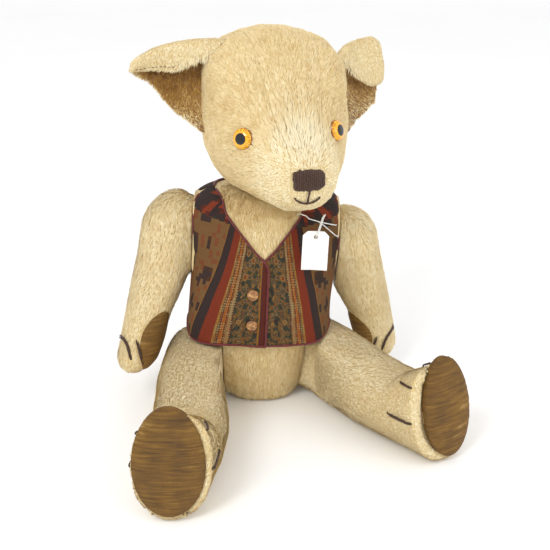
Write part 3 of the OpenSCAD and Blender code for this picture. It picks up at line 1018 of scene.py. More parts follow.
# ---------------------------------------------------------------- ears
# the CAD flap: its radius, the radius of the ball it lies on, and how far that ball is set back
EAR_R, EAR_DISH, EAR_DEPTH = 40 * MM, 59 * MM, 48 * MM
EAR_SHEET, EAR_ROLL = 2.0 * MM, 2.8 * MM
# each ear in millimetres across (away from the head) and up, from the middle of its flap: the sheet
# rises from its low edge to the turned top, and comes down in front as far as the flap's edge
EARS = {
    "right": {"turn": 4, "tip": 10, "reach": (-46, 41.5),
              "top": ((-46, 40), (-26, 41), (-12, 37), (5, 31), (23, 23), (36, 14), (41.5, 9)),
              "flap": ((-46, 27), (-29, 29), (-22, 26), (-10, 20), (5, 7), (22, 6), (36, 3), (41.5, 3)),
              "low": ((-46, -38), (-26, -38), (-8, -29), (3, -23), (14, -12), (24, -5), (33, -2), (41.5, 2))},
    "left": {"turn": 34, "tip": 10, "reach": (-46, 35.5),
             "top": ((-46, 26), (-18, 28), (-5, 33), (13, 34), (27, 33), (33, 28), (35.5, 21)),
             "flap": ((-46, 23), (-18, 21), (-9, 16), (0, 7), (10, -4), (21, -10), (30, -9), (35.5, -7)),
             "low": ((-46, -37), (-26, -37), (-8, -37), (10, -34), (17, -32), (27, -28), (32, -22),
                     (35.5, -13))},
}


def ear_axes(side):
    """The flap's frame: rows across, back and up, and its middle, matched to the CAD flap."""
    s = -1 if side == "right" else 1
    t, k = math.radians(EARS[side]["turn"]), math.radians(EARS[side]["tip"])
    across = HEAD.turn([math.cos(t) * math.cos(k) * s, math.sin(t), math.cos(t) * math.sin(k)])
    up = HEAD.turn([-math.sin(k) * s, 0, math.cos(k)])
    back = np.cross(up, across) * s
    rows = np.array([across, back, up])
    q = node_points(f"ear_{side}") @ rows.T
    low, high = q.min(0), q.max(0)
    middle = np.array([high[0] - EAR_R, high[1] + EAR_DEPTH - EAR_DISH - 3 * MM, (low[2] + high[2]) / 2])
    return middle @ rows, rows


def outline(points, a):
    """Heights of a smoothed line through the points, at each place a across the ear."""
    x, y = zip(*points)
    fine = np.linspace(x[0], x[-1], 60)
    y = np.interp(fine, x, y)
    for _ in range(3):
        y[1:-1] = (y[:-2] + 2 * y[1:-1] + y[2:]) / 4
    return np.interp(a, fine, y) * MM


def ear(side):
    """A folded ear: up the back, over the rolled top and down the front. Returns what its pile needs."""
    spec = EARS[side]
    origin, rows = ear_axes(side)
    columns, sheet, turned, flap_rows = 52, 24, 8, 12
    a = np.linspace(*spec["reach"], columns)
    top, flap, low = (outline(spec[key], a) for key in ("top", "flap", "low"))
    rag = np.random.default_rng(3 + len(side)).uniform(-1, 1, columns)
    low = low + rag * 0.8 * MM
    flap = flap + np.roll(rag, 7) * 0.5 * MM
    roll = np.minimum(EAR_ROLL, (top - low) / 3.2)
    crest = top - roll

    def dish(u):
        r = np.minimum(np.hypot(a * MM, u), 45 * MM)
        return np.sqrt(EAR_DISH ** 2 - r * r) - EAR_DEPTH

    grid = []
    for v in np.linspace(0, 1, sheet):
        u = low + (crest - low) * v
        grid.append((u, dish(u)))
    for w in np.linspace(0, math.pi, turned + 2)[1:-1]:
        grid.append((crest + roll * math.sin(w), dish(crest) - roll * (1 - math.cos(w))))
    for v in np.linspace(0, 1, flap_rows):
        u = crest + (np.maximum(flap, low + 0.5 * MM) - crest) * v
        behind = np.minimum(dish(u), dish(crest))
        grid.append((u, behind * v + dish(crest) * (1 - v) - 2 * roll - 1.2 * MM * math.sin(v * math.pi)))
    points = np.array([[[a[k] * MM, y[k], u[k]] for k in range(columns)] for u, y in grid])
    world = points @ rows + origin
    build = Build()
    build.grid(world)
    ob = build.done(f"ear_flap_{side}", [EAR_CLOTH, HIDE])
    mesh = ob.data
    if (normals_of(mesh)[:columns * sheet] @ rows[1]).sum() > 0:
        mesh.flip_normals()
    bm = bmesh.new()
    bm.from_mesh(mesh)
    buried = []
    for f in bm.faces:
        c = f.calc_center_median()
        q, n, _, _ = trees["head"].find_nearest(c)
        if (c - q).dot(n) < -5 * MM:
            buried.append(f)
    bmesh.ops.delete(bm, geom=buried, context="FACES")
    bm.to_mesh(mesh)
    bm.free()
    thick = ob.modifiers.new("thickness", "SOLIDIFY")
    thick.thickness, thick.offset = EAR_SHEET, 0.0
    thick.material_offset = thick.material_offset_rim = 1
    evaluated(ob)
    ob.data.polygons.foreach_set("use_smooth", [True] * len(ob.data.polygons))
    settle(ob, "head", "ear_plush", f"ear_{side}")
    if side == "right":
        dashes = Build()
        line = world[-3] - rows[1] * 1.5 * MM
        for k in range(30, columns - 2, 2):
            top = (line[k] + line[k + 1]) / 2 - rows[1] * 0.2 * MM
            dashes.tube([line[k], top, line[k + 1]], 0.28 * MM, 5)
        dashes.piece("ear_stitching", BROWN_THREAD, "head", "thread")
    return ob, origin, rows, (flap, low, a)


ears = {side: ear(side) for side in SIDES}


# ---------------------------------------------------------------- mohair pile
def scatter(mesh, count, rng):
    """Evenly random points on a mesh, with their smooth normals and face materials."""
    mesh.calc_loop_triangles()
    tri = np.empty(len(mesh.loop_triangles) * 3, int)
    mesh.loop_triangles.foreach_get("vertices", tri)
    tri = tri.reshape(-1, 3)
    which = np.empty(len(mesh.loop_triangles), int)
    mesh.loop_triangles.foreach_get("polygon_index", which)
    mats = np.empty(len(mesh.polygons), int)
    mesh.polygons.foreach_get("material_index", mats)
    p, n = points_of(mesh), normals_of(mesh)
    area = np.linalg.norm(np.cross(p[tri[:, 1]] - p[tri[:, 0]], p[tri[:, 2]] - p[tri[:, 0]]), axis=1)
    pick = rng.choice(len(tri), count, p=area / area.sum())
    u, v = rng.random(count), rng.random(count)
    flip = u + v > 1
    u[flip], v[flip] = 1 - u[flip], 1 - v[flip]
    w = np.stack([1 - u - v, u, v], 1)[:, :, None]
    return (p[tri[pick]] * w).sum(1), unit((n[tri[pick]] * w).sum(1)), mats[which[pick]]


TUFT_BLADES = 14                      # blades that lean towards one shared tip
TIP_LEAN, MIDDLE_LEAN = 0.32, 0.12
ROOT_SUNK = 0.5 * MM


def pile(name, body, slot, mesh, count, seed, flow, length, tone, keep, width=0.6 * MM, lift=0.3,
         materials=MOHAIR, swirl=0.3, clip=None):
    """Tapered blades combed along flow, gathered into tufts. The callables take the roots and normals."""
    rng = np.random.default_rng(seed)
    p, n, mats = scatter(mesh, count, rng)
    ok = keep(p, n, mats)
    for points, radius in bare[body] if slot == "plush" else []:
        tree = kd_tree(points)
        ok = ok & np.array([tree.find(q)[2] > radius for q in p])
    p, n = p[ok], n[ok]
    count = len(p)
    t = flow(p, n)
    t = unit(t - (t * n).sum(1, keepdims=True) * n + 1e-9)
    b = np.cross(n, t)
    broad, fine = Ripple(seed + 1, 0.040)(p) * swirl, Ripple(seed + 2, 0.013)(p) * swirl * 0.6
    turn = (broad + fine + rng.normal(0, 0.16, count))[:, None]
    t = t * np.cos(turn) + b * np.sin(turn)
    reach = (length(p, n) * rng.uniform(0.75, 1.2, count))[:, None]
    up = ((lift(p, n) if callable(lift) else lift) * rng.uniform(0.75, 1.25, count))[:, None]
    mid = p + reach * 0.45 * (t * np.cos(up * 1.5) + n * np.sin(up * 1.5))
    tip = mid + reach * 0.6 * (t * np.cos(up * 0.5) + n * np.sin(up * 0.5))
    # neighbours lean towards a shared tuft
    tufts = rng.choice(count, max(1, count // TUFT_BLADES), replace=False)
    tree = kd_tree(p[tufts])
    mine = np.array([tree.find(q)[1] for q in p])
    tip = tip + TIP_LEAN * (tip[tufts[mine]] - tip)
    mid = mid + MIDDLE_LEAN * (mid[tufts[mine]] - mid)
    if clip:
        mid, tip = clip(mid, p), clip(tip, p)
    side = unit(np.cross(tip - p, n)) * width * 0.5
    root = p - n * ROOT_SUNK
    verts = np.stack([root - side, root + side, mid + side * 0.85, mid - side * 0.85, tip], 1).reshape(-1, 3)
    base = np.arange(count)[:, None] * 5
    quads = (base + [0, 1, 2, 3]).tolist()
    tris = (base + [3, 2, 4]).tolist()
    blades = bpy.data.meshes.new(name)
    blades.from_pydata(verts.tolist(), [], quads + tris)
    patchy = Ripple(seed + 4, 0.05)(p) * 0.4
    patchy = patchy + rng.normal(0, 0.32, len(tufts))[mine] + rng.normal(0, 0.38, count)
    index = np.clip(np.round(tone(p, n) + patchy), 0, len(materials) - 1).astype(int)
    ob = place(name, blades, materials)
    blades.polygons.foreach_set("material_index", np.concatenate([index, index]))
    # the blades are lit mostly by the skin's normals
    face = np.cross(side, tip - p)
    soft = unit(n * 0.8 + unit(face) * 0.2 * np.sign((face * n).sum(1, keepdims=True)))
    blades.normals_split_custom_set_from_vertices(np.repeat(soft, 5, axis=0).tolist())
    blades.update()
    settle(ob, body, slot)


def outside_joint(body, joint):
    """Keeps pile off the disc, and on its own side of the joint's plane."""
    o, axis = joint_side(joint, points_of(skins[body].data).mean(0))

    def keep(p, n, mats):
        off, reach = (p - o) @ axis, np.linalg.norm(p - o, axis=1)
        return ~((off < 5 * MM) & (n @ axis < -0.6) & (reach < 25 * MM))

    def clip(p, root):
        under = np.minimum((p - o) @ axis - 0.6 * MM, 0)
        inside = ((root - o) @ axis > 0) & (np.linalg.norm(root - o, axis=1) < 80 * MM)
        return p - (under * inside)[:, None] * axis
    return keep, clip


def brow_share(q):
    """Where the long pale hair between the eyes grows."""
    across, up = q[:, 0] / 0.019, (q[:, 2] - 0.062) / 0.021
    return np.exp(-across ** 2 - up ** 2) * smoothstep(-q[:, 1], 0.03, 0.05)


def head_flow(p, n):
    q = HEAD.local(p)
    away = unit(q - HEAD.local(nose_mid))
    down = smoothstep(q[:, 1], -0.02, 0.05) + 0.5 * smoothstep(np.abs(q[:, 0]), 0.03, 0.06)
    local = away + brow_share(q)[:, None] * np.array([0, 0.2, 1.6]) + down[:, None] * np.array([0, 0.1, -0.9])
    return HEAD.turn(local)


def head_length(p, n):
    q = HEAD.local(p)
    muzzle = smoothstep(np.linalg.norm(q - HEAD.local(nose_mid), axis=1), 0.026, 0.056)
    return (1.8 + 2.3 * muzzle + 6.5 * brow_share(q)) * MM


def head_lift(p, n):
    return 0.28 + 0.3 * brow_share(HEAD.local(p))


def head_tone_and_painted_shade(p, n):
    q = HEAD.local(p)
    pale = 1.0 - smoothstep(np.linalg.norm(q - HEAD.local(nose_mid), axis=1), 0.03, 0.06)
    # painted light and shade: pile on the top of the head is a little paler, pile facing down is darker
    top, under = smoothstep(n @ UP, 0.2, 0.9), smoothstep(-(n @ UP), 0.0, 0.8)
    return 2.3 - 1.5 * pale - 1.1 * brow_share(q) - 0.1 * top + 0.6 * under


def head_keep(p, n, mats):
    q = HEAD.local(p)
    return (np.abs(gusset(q)) > 0.5 * MM) & ~((q[:, 2] < 3 * MM) & (n @ UP < -0.6))


def head_clip(p, root):
    out = np.linalg.norm(np.cross(root - NECK, UP), axis=1)
    floor_h = 0.8 * MM - 3.2 * MM * smoothstep(out, 34 * MM, 42 * MM)
    return p - np.minimum((p - NECK) @ UP - floor_h, 0)[:, None] * UP


pile("head_pile", "head", "plush", skins["head"].data, 80000, 11, head_flow, head_length, head_tone_and_painted_shade,
     head_keep, clip=head_clip, lift=head_lift)

# for each limb: its pad, blades, how much shorter they are at the end in millimetres, tone and seed
LIMBS = {"arm": ("paw_pad", 34000, 1.8, 1.6, 29), "leg": ("foot_pad", 60000, 2.9, 1.25, 30)}


def limb_pile(limb, side):
    pad, count, shorter, tone, seed = LIMBS[limb]
    body, joint = f"{limb}_{side}", f"{LIMB_JOINT[limb]}_{side}"
    o, _ = joint_place(joint)
    pad_points = node_points(f"{pad}_{side}")
    along = unit(pad_points.mean(0) - o)
    reach = float(np.dot(pad_points.mean(0) - o, along))
    keep, joint_clip = outside_joint(body, joint)
    sole = spread(pad_points)[1][2]
    sole = sole * np.sign(np.dot(sole, along))
    limit = (pad_points @ sole).max()

    def clip(p, root):
        p = joint_clip(p, root)
        if limb == "arm":
            return p
        return p - np.maximum(p @ sole - limit - 0.5 * MM, 0)[:, None] * sole

    def length(p, n):
        return (5.2 - shorter * smoothstep((p - o) @ along / reach, 0.55, 0.9)) * MM

    def tone_with_painted_light_and_shade(p, n):
        # painted light and shade: pile on upward-facing skin is paler, pile on downward-facing skin darker
        return tone - 0.3 * smoothstep(n[:, 2], 0.2, 0.9) + 0.8 * smoothstep(-n[:, 2], 0.1, 0.9)

    def flow(p, n):
        return np.broadcast_to(along, p.shape)

    pile(f"{body}_pile", body, "plush", skins[body].data, count, seed + len(side), flow, length, tone_with_painted_light_and_shade, keep,
         clip=clip)


for side in SIDES:
    for limb in LIMBS:
        limb_pile(limb, side)


# ---------------------------------------------------------------- waistcoat
front_points = TORSO.local(np.concatenate([node_points("vest_front_right"), node_points("vest_front_left")]))
HEM = front_points[:, 2].min()
NECK_TOP = TORSO.local(node_points("vest_back"))[:, 2].max()
NECKLINE = front_points[np.abs(front_points[:, 0]) < 0.6 * MM][:, 2].max()
SHOULDER = {side: TORSO.local(joint_place(f"shoulder_{side}")[0]) for side in SIDES}
SIDE_PLANE = abs(SHOULDER["left"][0]) - 0.2 * MM
NECK_HALF = 41 * MM
NECK_WIDE = {"right": 1.2, "left": 1.0}
NECK_SLOPE = {side: NECK_WIDE[side] * NECK_HALF / (NECK[2] / UP[2] - NECKLINE) for side in SIDES}
ARMHOLE_R = 25 * MM
WRAP = 60.0                   # millimetres of cloth to a radian
CLOTH_OFF = 1.1 * MM
torso_tree = tree_of(NODES["torso_cover"].data)
torso_middle = points_of(skins["torso"].data).mean(0)
TORSO_JOINTS = [(kind, *joint_side(f"{kind}_{side}", torso_middle))
                for side in SIDES for kind in ("shoulder", "hip")]
flutter = Ripple(77, 0.055)
HIP_SWEEP = 39 * MM
CLOTH_GAP = 3.2 * MM


def clear_of_legs(w):
    """Moves a point out of the legs, and out of the round that each thigh sweeps."""
    for _ in range(2):
        for side in SIDES:
            o, inward = joint_side(f"hip_{side}", torso_middle)
            along = np.dot(w - o, inward)
            arm = w - o - along * inward
            if along < 2 * MM:
                w = w + unit(arm) * max(0, HIP_SWEEP - np.linalg.norm(arm))
            q, n, _, d = trees[f"leg_{side}"].find_nearest(Vector(w))
            d = d if (Vector(w) - q).dot(n) > 0 else -d
            w = w + np.array(n) * max(0, CLOTH_GAP - d)
    return w


def body_radius(phi, h):
    """Distance from the torso's axis to its cover, phi from the front towards the bear's left."""
    d = np.array([math.sin(phi), -math.cos(phi), 0])
    q, _ = hit(torso_tree, TORSO.world(d * 0.2 + [0, 0, max(h, HEM + 15 * MM)]), TORSO.turn(-d))
    return math.hypot(*TORSO.local(q)[:2])


BOX = 66 * MM                 # half the width of the boxier form
BOX_SHARE = {"right": 0.9, "left": 0.3}
HEM_FLARE = 1.4 * MM


def cloth_point(phi, h, lift):
    """A point of the waistcoat: it hugs the chest, and hangs boxier towards the hem on the bear's right."""
    r = body_radius(phi, h)
    low = 1 - smoothstep(h, HEM + 8 * MM, HEM + 72 * MM)
    sin, cos = math.sin(phi), math.cos(phi)
    box = ((abs(sin) / BOX) ** 6 + (abs(cos) / BOX) ** 6) ** (-1 / 6)
    share = BOX_SHARE["right" if sin < 0 else "left"]
    share *= smoothstep(abs(sin), 0.15, 0.6) * smoothstep(cos, -0.35, 0.25) * low
    r += lift + low * HEM_FLARE + max(0, box - r - lift) * share
    q = np.array([r * sin, -r * cos, h])
    fold = flutter(q) * (0.5 + 0.6 * low) * MM
    q[:2] *= 1 + fold / max(r, 1e-6)
    if h > NECK_TOP - 75 * MM:
        q[0] = np.clip(q[0], -SIDE_PLANE + 0.9 * MM, SIDE_PLANE - 0.9 * MM)
    return q


def angle_at(x, h):
    """phi of the cover's front point with that x."""
    phi = math.asin(np.clip(x / 0.058, -0.98, 0.98))
    for _ in range(4):
        r = body_radius(phi, h)
        phi = math.asin(np.clip(x / r, -0.98, 0.98))
    return phi


def armhole_angle(side, h):
    """The side seam's phi, or the armhole's edge beside the shoulder."""
    t = (h - SHOULDER[side][2]) / ARMHOLE_R
    if abs(t) >= 1:
        return math.pi / 2
    return math.atan2(SIDE_PLANE, ARMHOLE_R * math.sqrt(1 - t * t))


def smooth_grid(g, rounds):
    """Evens out a grid of points. Its edges only move along themselves."""
    for _ in range(rounds):
        e = g.copy()
        e[1:-1, 1:-1] = (g[:-2, 1:-1] + g[2:, 1:-1] + g[1:-1, :-2] + g[1:-1, 2:]) / 8 + g[1:-1, 1:-1] / 2
        for line in ((0, slice(1, -1)), (-1, slice(1, -1))):
            e[line] = (g[line[0], :-2] + g[line[0], 2:]) / 4 + g[line] / 2
        for col in (0, -1):
            e[1:-1, col] = (g[:-2, col] + g[2:, col]) / 4 + g[1:-1, col] / 2
        g = e
    return g


def drape(points):
    """Lifts the cloth clear of the legs and evens it out, by turns, ending with a lift."""
    for rounds in (3, 2, 1, 0):
        low = points[..., 2] < HEM + 30 * MM
        points[low] = [TORSO.local(clear_of_legs(w)) for w in TORSO.world(points[low])]
        points = smooth_grid(points, rounds)
    return points


def weave(rows, cols, at):
    """Grids of places and of cloth coordinates, from at(u, v) for u along the rows and v up them."""
    made = np.array([[at(k / (cols - 1), i / (rows - 1)) for k in range(cols)] for i in range(rows)])
    return made[:, :, 0], made[:, :, 1]


LAP = {"right": 3.5 * MM, "left": 3 * MM}
OVERLAP = 1.5 * MM            # how far the right front stands off the left one


def panel(side):
    """A front: rows from hem to shoulder, columns from the closure or neck edge to the side."""
    s = -1 if side == "right" else 1

    def at(u, v):
        h = HEM + v * (NECK_TOP - HEM)
        over = OVERLAP * (1 - smoothstep(u, 0.0, 0.3)) if side == "right" and h < NECKLINE + 5 * MM else 0.0
        lap = LAP[side] * (1 - smoothstep(h, NECKLINE - 1 * MM, NECKLINE + 9 * MM))
        inner = angle_at((NECK_SLOPE[side] * max(0, h - NECKLINE) - lap) * s, h) * s
        phi = inner + (armhole_angle(side, h) - inner) * u
        return cloth_point(phi * s, h, CLOTH_OFF + over), (phi * WRAP, (h - HEM) / MM, s)

    points, cloth = weave(76, 34, at)
    return drape(smooth_grid(points, 2)), smooth_grid(cloth, 8)


def back_panel():
    """The back, from the left side seam to the right one, with a dip at the neck."""
    def at(u, v):
        level = HEM + v * (NECK_TOP - HEM)
        first, last = math.pi - armhole_angle("left", level), math.pi + armhole_angle("right", level)
        phi = first + (last - first) * u
        dip = 10 * MM * (1 - smoothstep(abs(math.sin(phi)), 0.62, 0.86))
        h = HEM + v * (NECK_TOP - dip - HEM)
        return cloth_point(phi, h, CLOTH_OFF), (abs(phi - math.pi) * WRAP, (h - HEM) / MM, 0)

    points, cloth = weave(68, 64, at)
    return drape(points), smooth_grid(cloth, 6)


def sew(name, points, cloth, face, edges, *stands_for):
    """A panel two faces thick, with a bound edge."""
    build = Build()
    world = TORSO.world(points)
    build.grid(world)
    ob = build.done(name, [face, LINING])
    data = ob.data.attributes.new("cloth", "FLOAT_VECTOR", "POINT")
    data.data.foreach_set("vector", cloth.reshape(-1, 3).ravel())
    outward = world.reshape(-1, 3) - TORSO.world(points.reshape(-1, 3) * [0, 0, 1])
    if (normals_of(ob.data) * outward).sum() < 0:
        ob.data.flip_normals()
    thick = ob.modifiers.new("thickness", "SOLIDIFY")
    thick.thickness, thick.offset = 1.1 * MM, -1.0
    thick.material_offset = 1
    evaluated(ob)
    settle(ob, "torso", "waistcoat_cloth", *stands_for)
    binding = Build()
    for line in edges:
        binding.tube(TORSO.world(line), 0.95 * MM, 8, twist=0.7)
    binding.piece(f"{name}_binding", PIPING, "torso", "waistcoat_cloth")


for side in SIDES:
    points, cloth = panel(side)
    armhole = SHOULDER[side][2] + np.array([-ARMHOLE_R, ARMHOLE_R])
    share = np.clip((armhole - HEM) / (NECK_TOP - HEM), 0, 1)
    start, stop = (share * (len(points) - 1)).astype(int)
    edges = [points[0], points[:, 0], points[start:stop + 1, -1]]
    sew(f"waistcoat_{side}", points, cloth, TAPESTRY[side], edges, f"vest_front_{side}")
points, cloth = back_panel()
sew("waistcoat_back", points, cloth, TAPESTRY["left"], [points[0], points[-1]], "vest_back")


def bare_torso(p, n, mats):
    """Only what the waistcoat leaves open grows pile."""
    q = TORSO.local(p)
    h, x = q[:, 2], q[:, 0]
    slope = np.where(x < 0, NECK_SLOPE["right"], NECK_SLOPE["left"])
    neck = (q[:, 1] < 0) & (np.abs(x) < slope * (h - 5 * MM - NECKLINE) - 0.5 * MM)
    back = (q[:, 1] > 0) & (h > NECK_TOP - 5 * MM) & (np.abs(x) < 0.6 * np.hypot(x, q[:, 1]))
    low = h < HEM + 6 * MM
    shoulder_h = np.where(x < 0, *(SHOULDER[side][2] for side in SIDES))
    armhole = (np.abs(x) > SIDE_PLANE - 5 * MM) & (np.hypot(q[:, 1], h - shoulder_h) < ARMHOLE_R - 0.5 * MM)
    flat = np.zeros(len(p), bool)
    for _, o, axis in TORSO_JOINTS:
        flat |= ((p - o) @ axis < 4 * MM) & (n @ axis < -0.8) & (np.linalg.norm(p - o, axis=1) < 18 * MM)
    return (neck | back | low | armhole) & ~flat


def torso_clip(p, root):
    """Keeps the torso's pile inside its joint planes and under the head."""
    for kind, o, axis in TORSO_JOINTS:
        close = np.linalg.norm(p - o, axis=1) < (60 * MM if kind == "hip" else 50 * MM)
        under = np.minimum((p - o) @ axis - 0.4 * MM, 0) * close
        p = p - under[:, None] * axis
    out = np.linalg.norm(np.cross(root - NECK, UP), axis=1)
    over = np.maximum((p - NECK) @ UP + 0.6 * MM - 2.0 * MM * smoothstep(out, 28 * MM, 36 * MM), 0)
    return p - over[:, None] * UP


def torso_tone_with_painted_shade(p, n):
    # painted shade: the pile darkens near the top of the torso, under the head, and where the skin faces down
    return 2.2 + 0.9 * smoothstep(TORSO.local(p)[:, 2], 0.165, 0.19) + 0.6 * smoothstep(-n[:, 2], 0, 0.8)


pile("torso_pile", "torso", "plush", skins["torso"].data, 52000, 40,
     lambda p, n: np.broadcast_to(-UP, p.shape), lambda p, n: np.full(len(p), 5.0 * MM),
     torso_tone_with_painted_shade, bare_torso, clip=torso_clip)

# buttons: radius and height in millimetres
BUTTON_PROFILE = [(3.0, -1.2), (4.3, -0.6), (4.8, 0.3), (4.7, 1.2), (4.1, 1.8), (3.6, 1.5), (2.8, 1.4),
                  (1.6, 1.7), (0.5, 1.8)]
cloth_tree = tree_of(bpy.data.objects["waistcoat_right"].data)
for number, cloud in enumerate(solids_of("vest_buttons")):
    mid = (cloud.min(0) + cloud.max(0)) / 2
    front = TORSO.turn([0, -1, 0])
    touch, out = hit(cloth_tree, mid + front * 20 * MM, -front)
    out = unit(out * np.sign(np.dot(out, front)) + front)
    axes = Axes((0, 0, 0), TORSO.turn([1, 0, 0]), out)
    base = touch + out * 0.5 * MM
    build = Build()
    build.lathe([(r * MM, h * MM) for r, h in BUTTON_PROFILE], base, axes.r, 36)
    stands_for = ["vest_buttons"] if number == 0 else []
    build.piece(f"waistcoat_button_{number + 1}", HORN, "torso", "button", *stands_for)


# ---------------------------------------------------------------- ticket and string
TICKET_CUT, TICKET_HOLE, HOLE_DOWN, EYELET_R = 4 * MM, 1.8 * MM, 5 * MM, 2.3 * MM
# the two threads of the loop on the strap: their ends across and up the torso, in millimetres
STRAP_LOOP = (((26, 183), (61, 171)), ((44, 177), (62, 160)))


def ticket():
    """A card with cut corners and a slight curl, its eyelet, its doubled link and the loop on the strap."""
    p = TORSO.local(node_points("ticket"))
    low, high = p.min(0), p.max(0)
    y = p[:, 1].mean()
    mid_x, width, height = (low[0] + high[0]) / 2, high[0] - low[0], high[2] - low[2]
    hole_z = high[2] - HOLE_DOWN
    rows, cols = 27, 17
    grid = np.empty((rows, cols, 3))
    for i in range(rows):
        v = i / (rows - 1)
        z = low[2] + height * v
        inset = max(0, z - (high[2] - TICKET_CUT))
        for k in range(cols):
            u = k / (cols - 1) * 2 - 1
            curl = 0.9 * MM * u * u + 0.7 * MM * (v - 0.5) ** 2 * 4
            grid[i, k] = (mid_x + u * (width / 2 - inset), y - curl + 0.5 * MM, z)
    build = Build()
    build.grid(TORSO.world(grid))
    flat = grid.reshape(-1, 3)[:, [0, 2]]
    build.f = [f for f in build.f if np.hypot(*(flat[list(f)].mean(0) - [mid_x, hole_z])) > TICKET_HOLE * 0.8]
    ob = build.done("ticket_card", [CARD])
    ob.modifiers.new("thickness", "SOLIDIFY").thickness = 0.45 * MM
    evaluated(ob)
    settle(ob, "ticket", "card", "ticket")
    hole = np.array([mid_x, y, hole_z])
    ring = Build()
    turns = np.linspace(0, 2 * math.pi, 24, endpoint=False)
    path = [hole + [EYELET_R * math.cos(a), -0.2 * MM, EYELET_R * math.sin(a)] for a in turns]
    ring.tube(TORSO.world(path), 0.4 * MM, 6, closed=True)
    ring.piece("ticket_eyelet", CARD, "ticket", "card")
    # the link from the hole up to the loop
    string = TORSO.local(node_points("ticket_string"))
    top = string[string[:, 2].argmax()]
    hook = top * [1, 0, 1] + [0, y, 0]
    first = np.array([hole + [0, 1.2 * MM, -1.0 * MM], hole + [0, -1.0 * MM, 0],
                      hole + [1.0 * MM, -1.2 * MM, 3 * MM], hook + [-1.5 * MM, 1.0 * MM, -4 * MM],
                      hook + [0, 1.8 * MM, -1 * MM]])
    second = first + [0, 0.3 * MM, 0]
    second[2:] += [1.1 * MM, 0, 0.4 * MM]
    link = Build()
    link.tube(TORSO.world(first), 0.5 * MM, 7)
    link.tube(TORSO.world(second), 0.45 * MM, 7)
    link.piece("ticket_link", WHITE_THREAD, "ticket", "string", "ticket_string")
    # the loop round the strap rides on the torso
    loop = Build()
    for start, stop in STRAP_LOOP:
        path = []
        for t in np.linspace(0, 1, 16):
            x, z = (np.array(start) + (np.array(stop) - start) * t) * MM
            q, n = hit(torso_tree, TORSO.world([x, FAR_FRONT, z]), TORSO.turn([0, 1, 0]))
            path.append(q + n * (3.0 if 0.05 < t < 0.95 else 0.2) * MM)
        loop.tube(path, 0.5 * MM, 7)
    loop.piece("ticket_loop", WHITE_THREAD, "torso", "string")


ticket()

# ---------------------------------------------------------------- what stays from the CAD
FINISH = {
    "disc": board("fibreboard", (96, 66, 38), (158, 118, 74)),
    "washer": board("steel", (120, 120, 118), (182, 180, 176), 1.0, 0.3),
    "pin": board("steel_pin", (120, 120, 118), (182, 180, 176), 1.0, 0.3),
    "card": board("sole_card", (150, 120, 84), (192, 160, 118)),
}
for name, ob in NODES.items():
    for key, finish in FINISH.items():
        if key in name and not ob.hide_render:
            ob.data.materials.clear()
            ob.data.materials.append(finish)


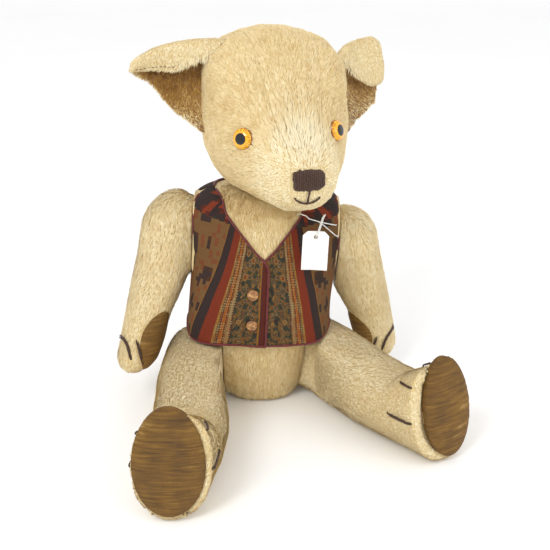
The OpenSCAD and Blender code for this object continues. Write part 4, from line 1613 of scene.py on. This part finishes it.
# ---------------------------------------------------------------- ear pile
def ear_pile(side):
    """Cream pile on the back and the folded front, and brown nap inside whose tones are partly painted light
    and shade: darkest just under the fold, paler away from it and along the edges.
    """
    ob, origin, rows, (flap, low, a) = ears[side]
    head_tree = trees["head"]

    def plane(p):
        q = (p - origin) @ rows.T / MM
        return q[:, 0], q[:, 2]

    def outward(p, n):
        across, _ = plane(p)
        return across[:, None] * 0.02 * rows[0] + np.broadcast_to(-rows[2], p.shape)

    def clear_of_head(p):
        found = [head_tree.find_nearest(Vector(q)) for q in p]
        return np.array([(Vector(q) - f[0]).dot(f[1]) > 0.3 * MM for q, f in zip(p, found)])

    def depth(p):
        """Distance below the flap's edge, and above the low edge, in millimetres."""
        across, up = plane(p)
        return np.interp(across, a, flap) / MM - up, up - np.interp(across, a, low) / MM

    def back_length(p, n):
        below, _ = depth(p)
        across, _ = plane(p)
        fringe = np.exp(-(below / 4.0) ** 2) * smoothstep(-across, -8, 6) * (n @ rows[1] < 0)
        return (2.6 + 5.0 * fringe) * MM

    def inner_tone_with_painted_shade(p, n):
        # painted shade and light: the inner nap darkens just under the flap's edge and pales towards the
        # ear's rim
        below, above = depth(p)
        across, _ = plane(p)
        if side == "right":
            pale_tip, pale_edge = 3.4 * smoothstep(across, 24, 38), 1.4 * smoothstep(-above, -10, 0)
            return 4.7 - 0.06 * np.maximum(below, 0) - pale_tip - pale_edge
        return 2.1 * np.exp(-np.maximum(below, 0) / 9) + 0.9 - 0.8 * smoothstep(-above, -12, 0)

    def on(face):
        return lambda p, n, mats: (mats == face) & clear_of_head(p)

    pile(f"ear_{side}_back_pile", "head", "ear_plush", ob.data, 14000, 60 + len(side), outward, back_length,
         lambda p, n: np.full(len(p), 1.0), on(1), width=0.55 * MM, lift=0.25, swirl=0.25)
    pile(f"ear_{side}_inner_pile", "head", "ear_plush", ob.data, 12000, 70 + len(side), outward,
         lambda p, n: np.full(len(p), 2.8 * MM), inner_tone_with_painted_shade, on(0), width=0.55 * MM, materials=EAR_NAP)


for side in SIDES:
    ear_pile(side)

# ---------------------------------------------------------------- floor, light and camera
def floor_material():
    def recipe():
        tone = mix(noise(here(), 3, 3), (250, 250, 250), (255, 255, 255))
        return {"Base_Color": tone, "Roughness": 0.6 + 0.1 * noise(here(), 20, 2)}
    return material("floor", recipe)


FLOOR_HALF = 3.0
line = np.linspace(-FLOOR_HALF, FLOOR_HALF, 7)
build = Build()
build.grid(np.array([[(x, y, 0.0) for x in line] for y in line]))
build.done("floor", [floor_material()])

world = bpy.data.worlds.new("studio")
world.use_nodes = True
background = world.node_tree.nodes["Background"]
background.inputs["Color"].default_value = (1, 1, 1, 1)
background.inputs["Strength"].default_value = 0.98
bpy.context.scene.world = world
LIT = (0, 0, 0.14)


def lamp(name, spot, size, power):
    data = bpy.data.lights.new(name, "AREA")
    data.shape = "DISK"
    data.size = size
    data.energy = power
    ob = bpy.data.objects.new(name, data)
    bpy.context.scene.collection.objects.link(ob)
    ob.location = spot
    ob.rotation_euler = (Vector(LIT) - Vector(spot)).to_track_quat("-Z", "Y").to_euler()


lamp("key", (-0.75, -1.25, 1.35), 0.7, 12)
lamp("fill", (1.3, -0.9, 0.8), 0.9, 5)

VIEW_DISTANCE, VIEW_ELEVATION, VIEW_TARGET = 0.9, math.radians(22), Vector((0.015, 0.0, 0.110))
camera_data = bpy.data.cameras.new("camera")
camera_data.sensor_width = 36.0
camera_data.lens = 64.0
camera = bpy.data.objects.new("camera", camera_data)
bpy.context.scene.collection.objects.link(camera)
backward = Vector((0, -math.cos(VIEW_ELEVATION), math.sin(VIEW_ELEVATION)))
camera.location = VIEW_TARGET + VIEW_DISTANCE * backward
camera.rotation_euler = (math.pi / 2 - VIEW_ELEVATION, 0, 0)
bpy.context.scene.camera = camera
bpy.context.scene.view_settings.view_transform = "Standard"
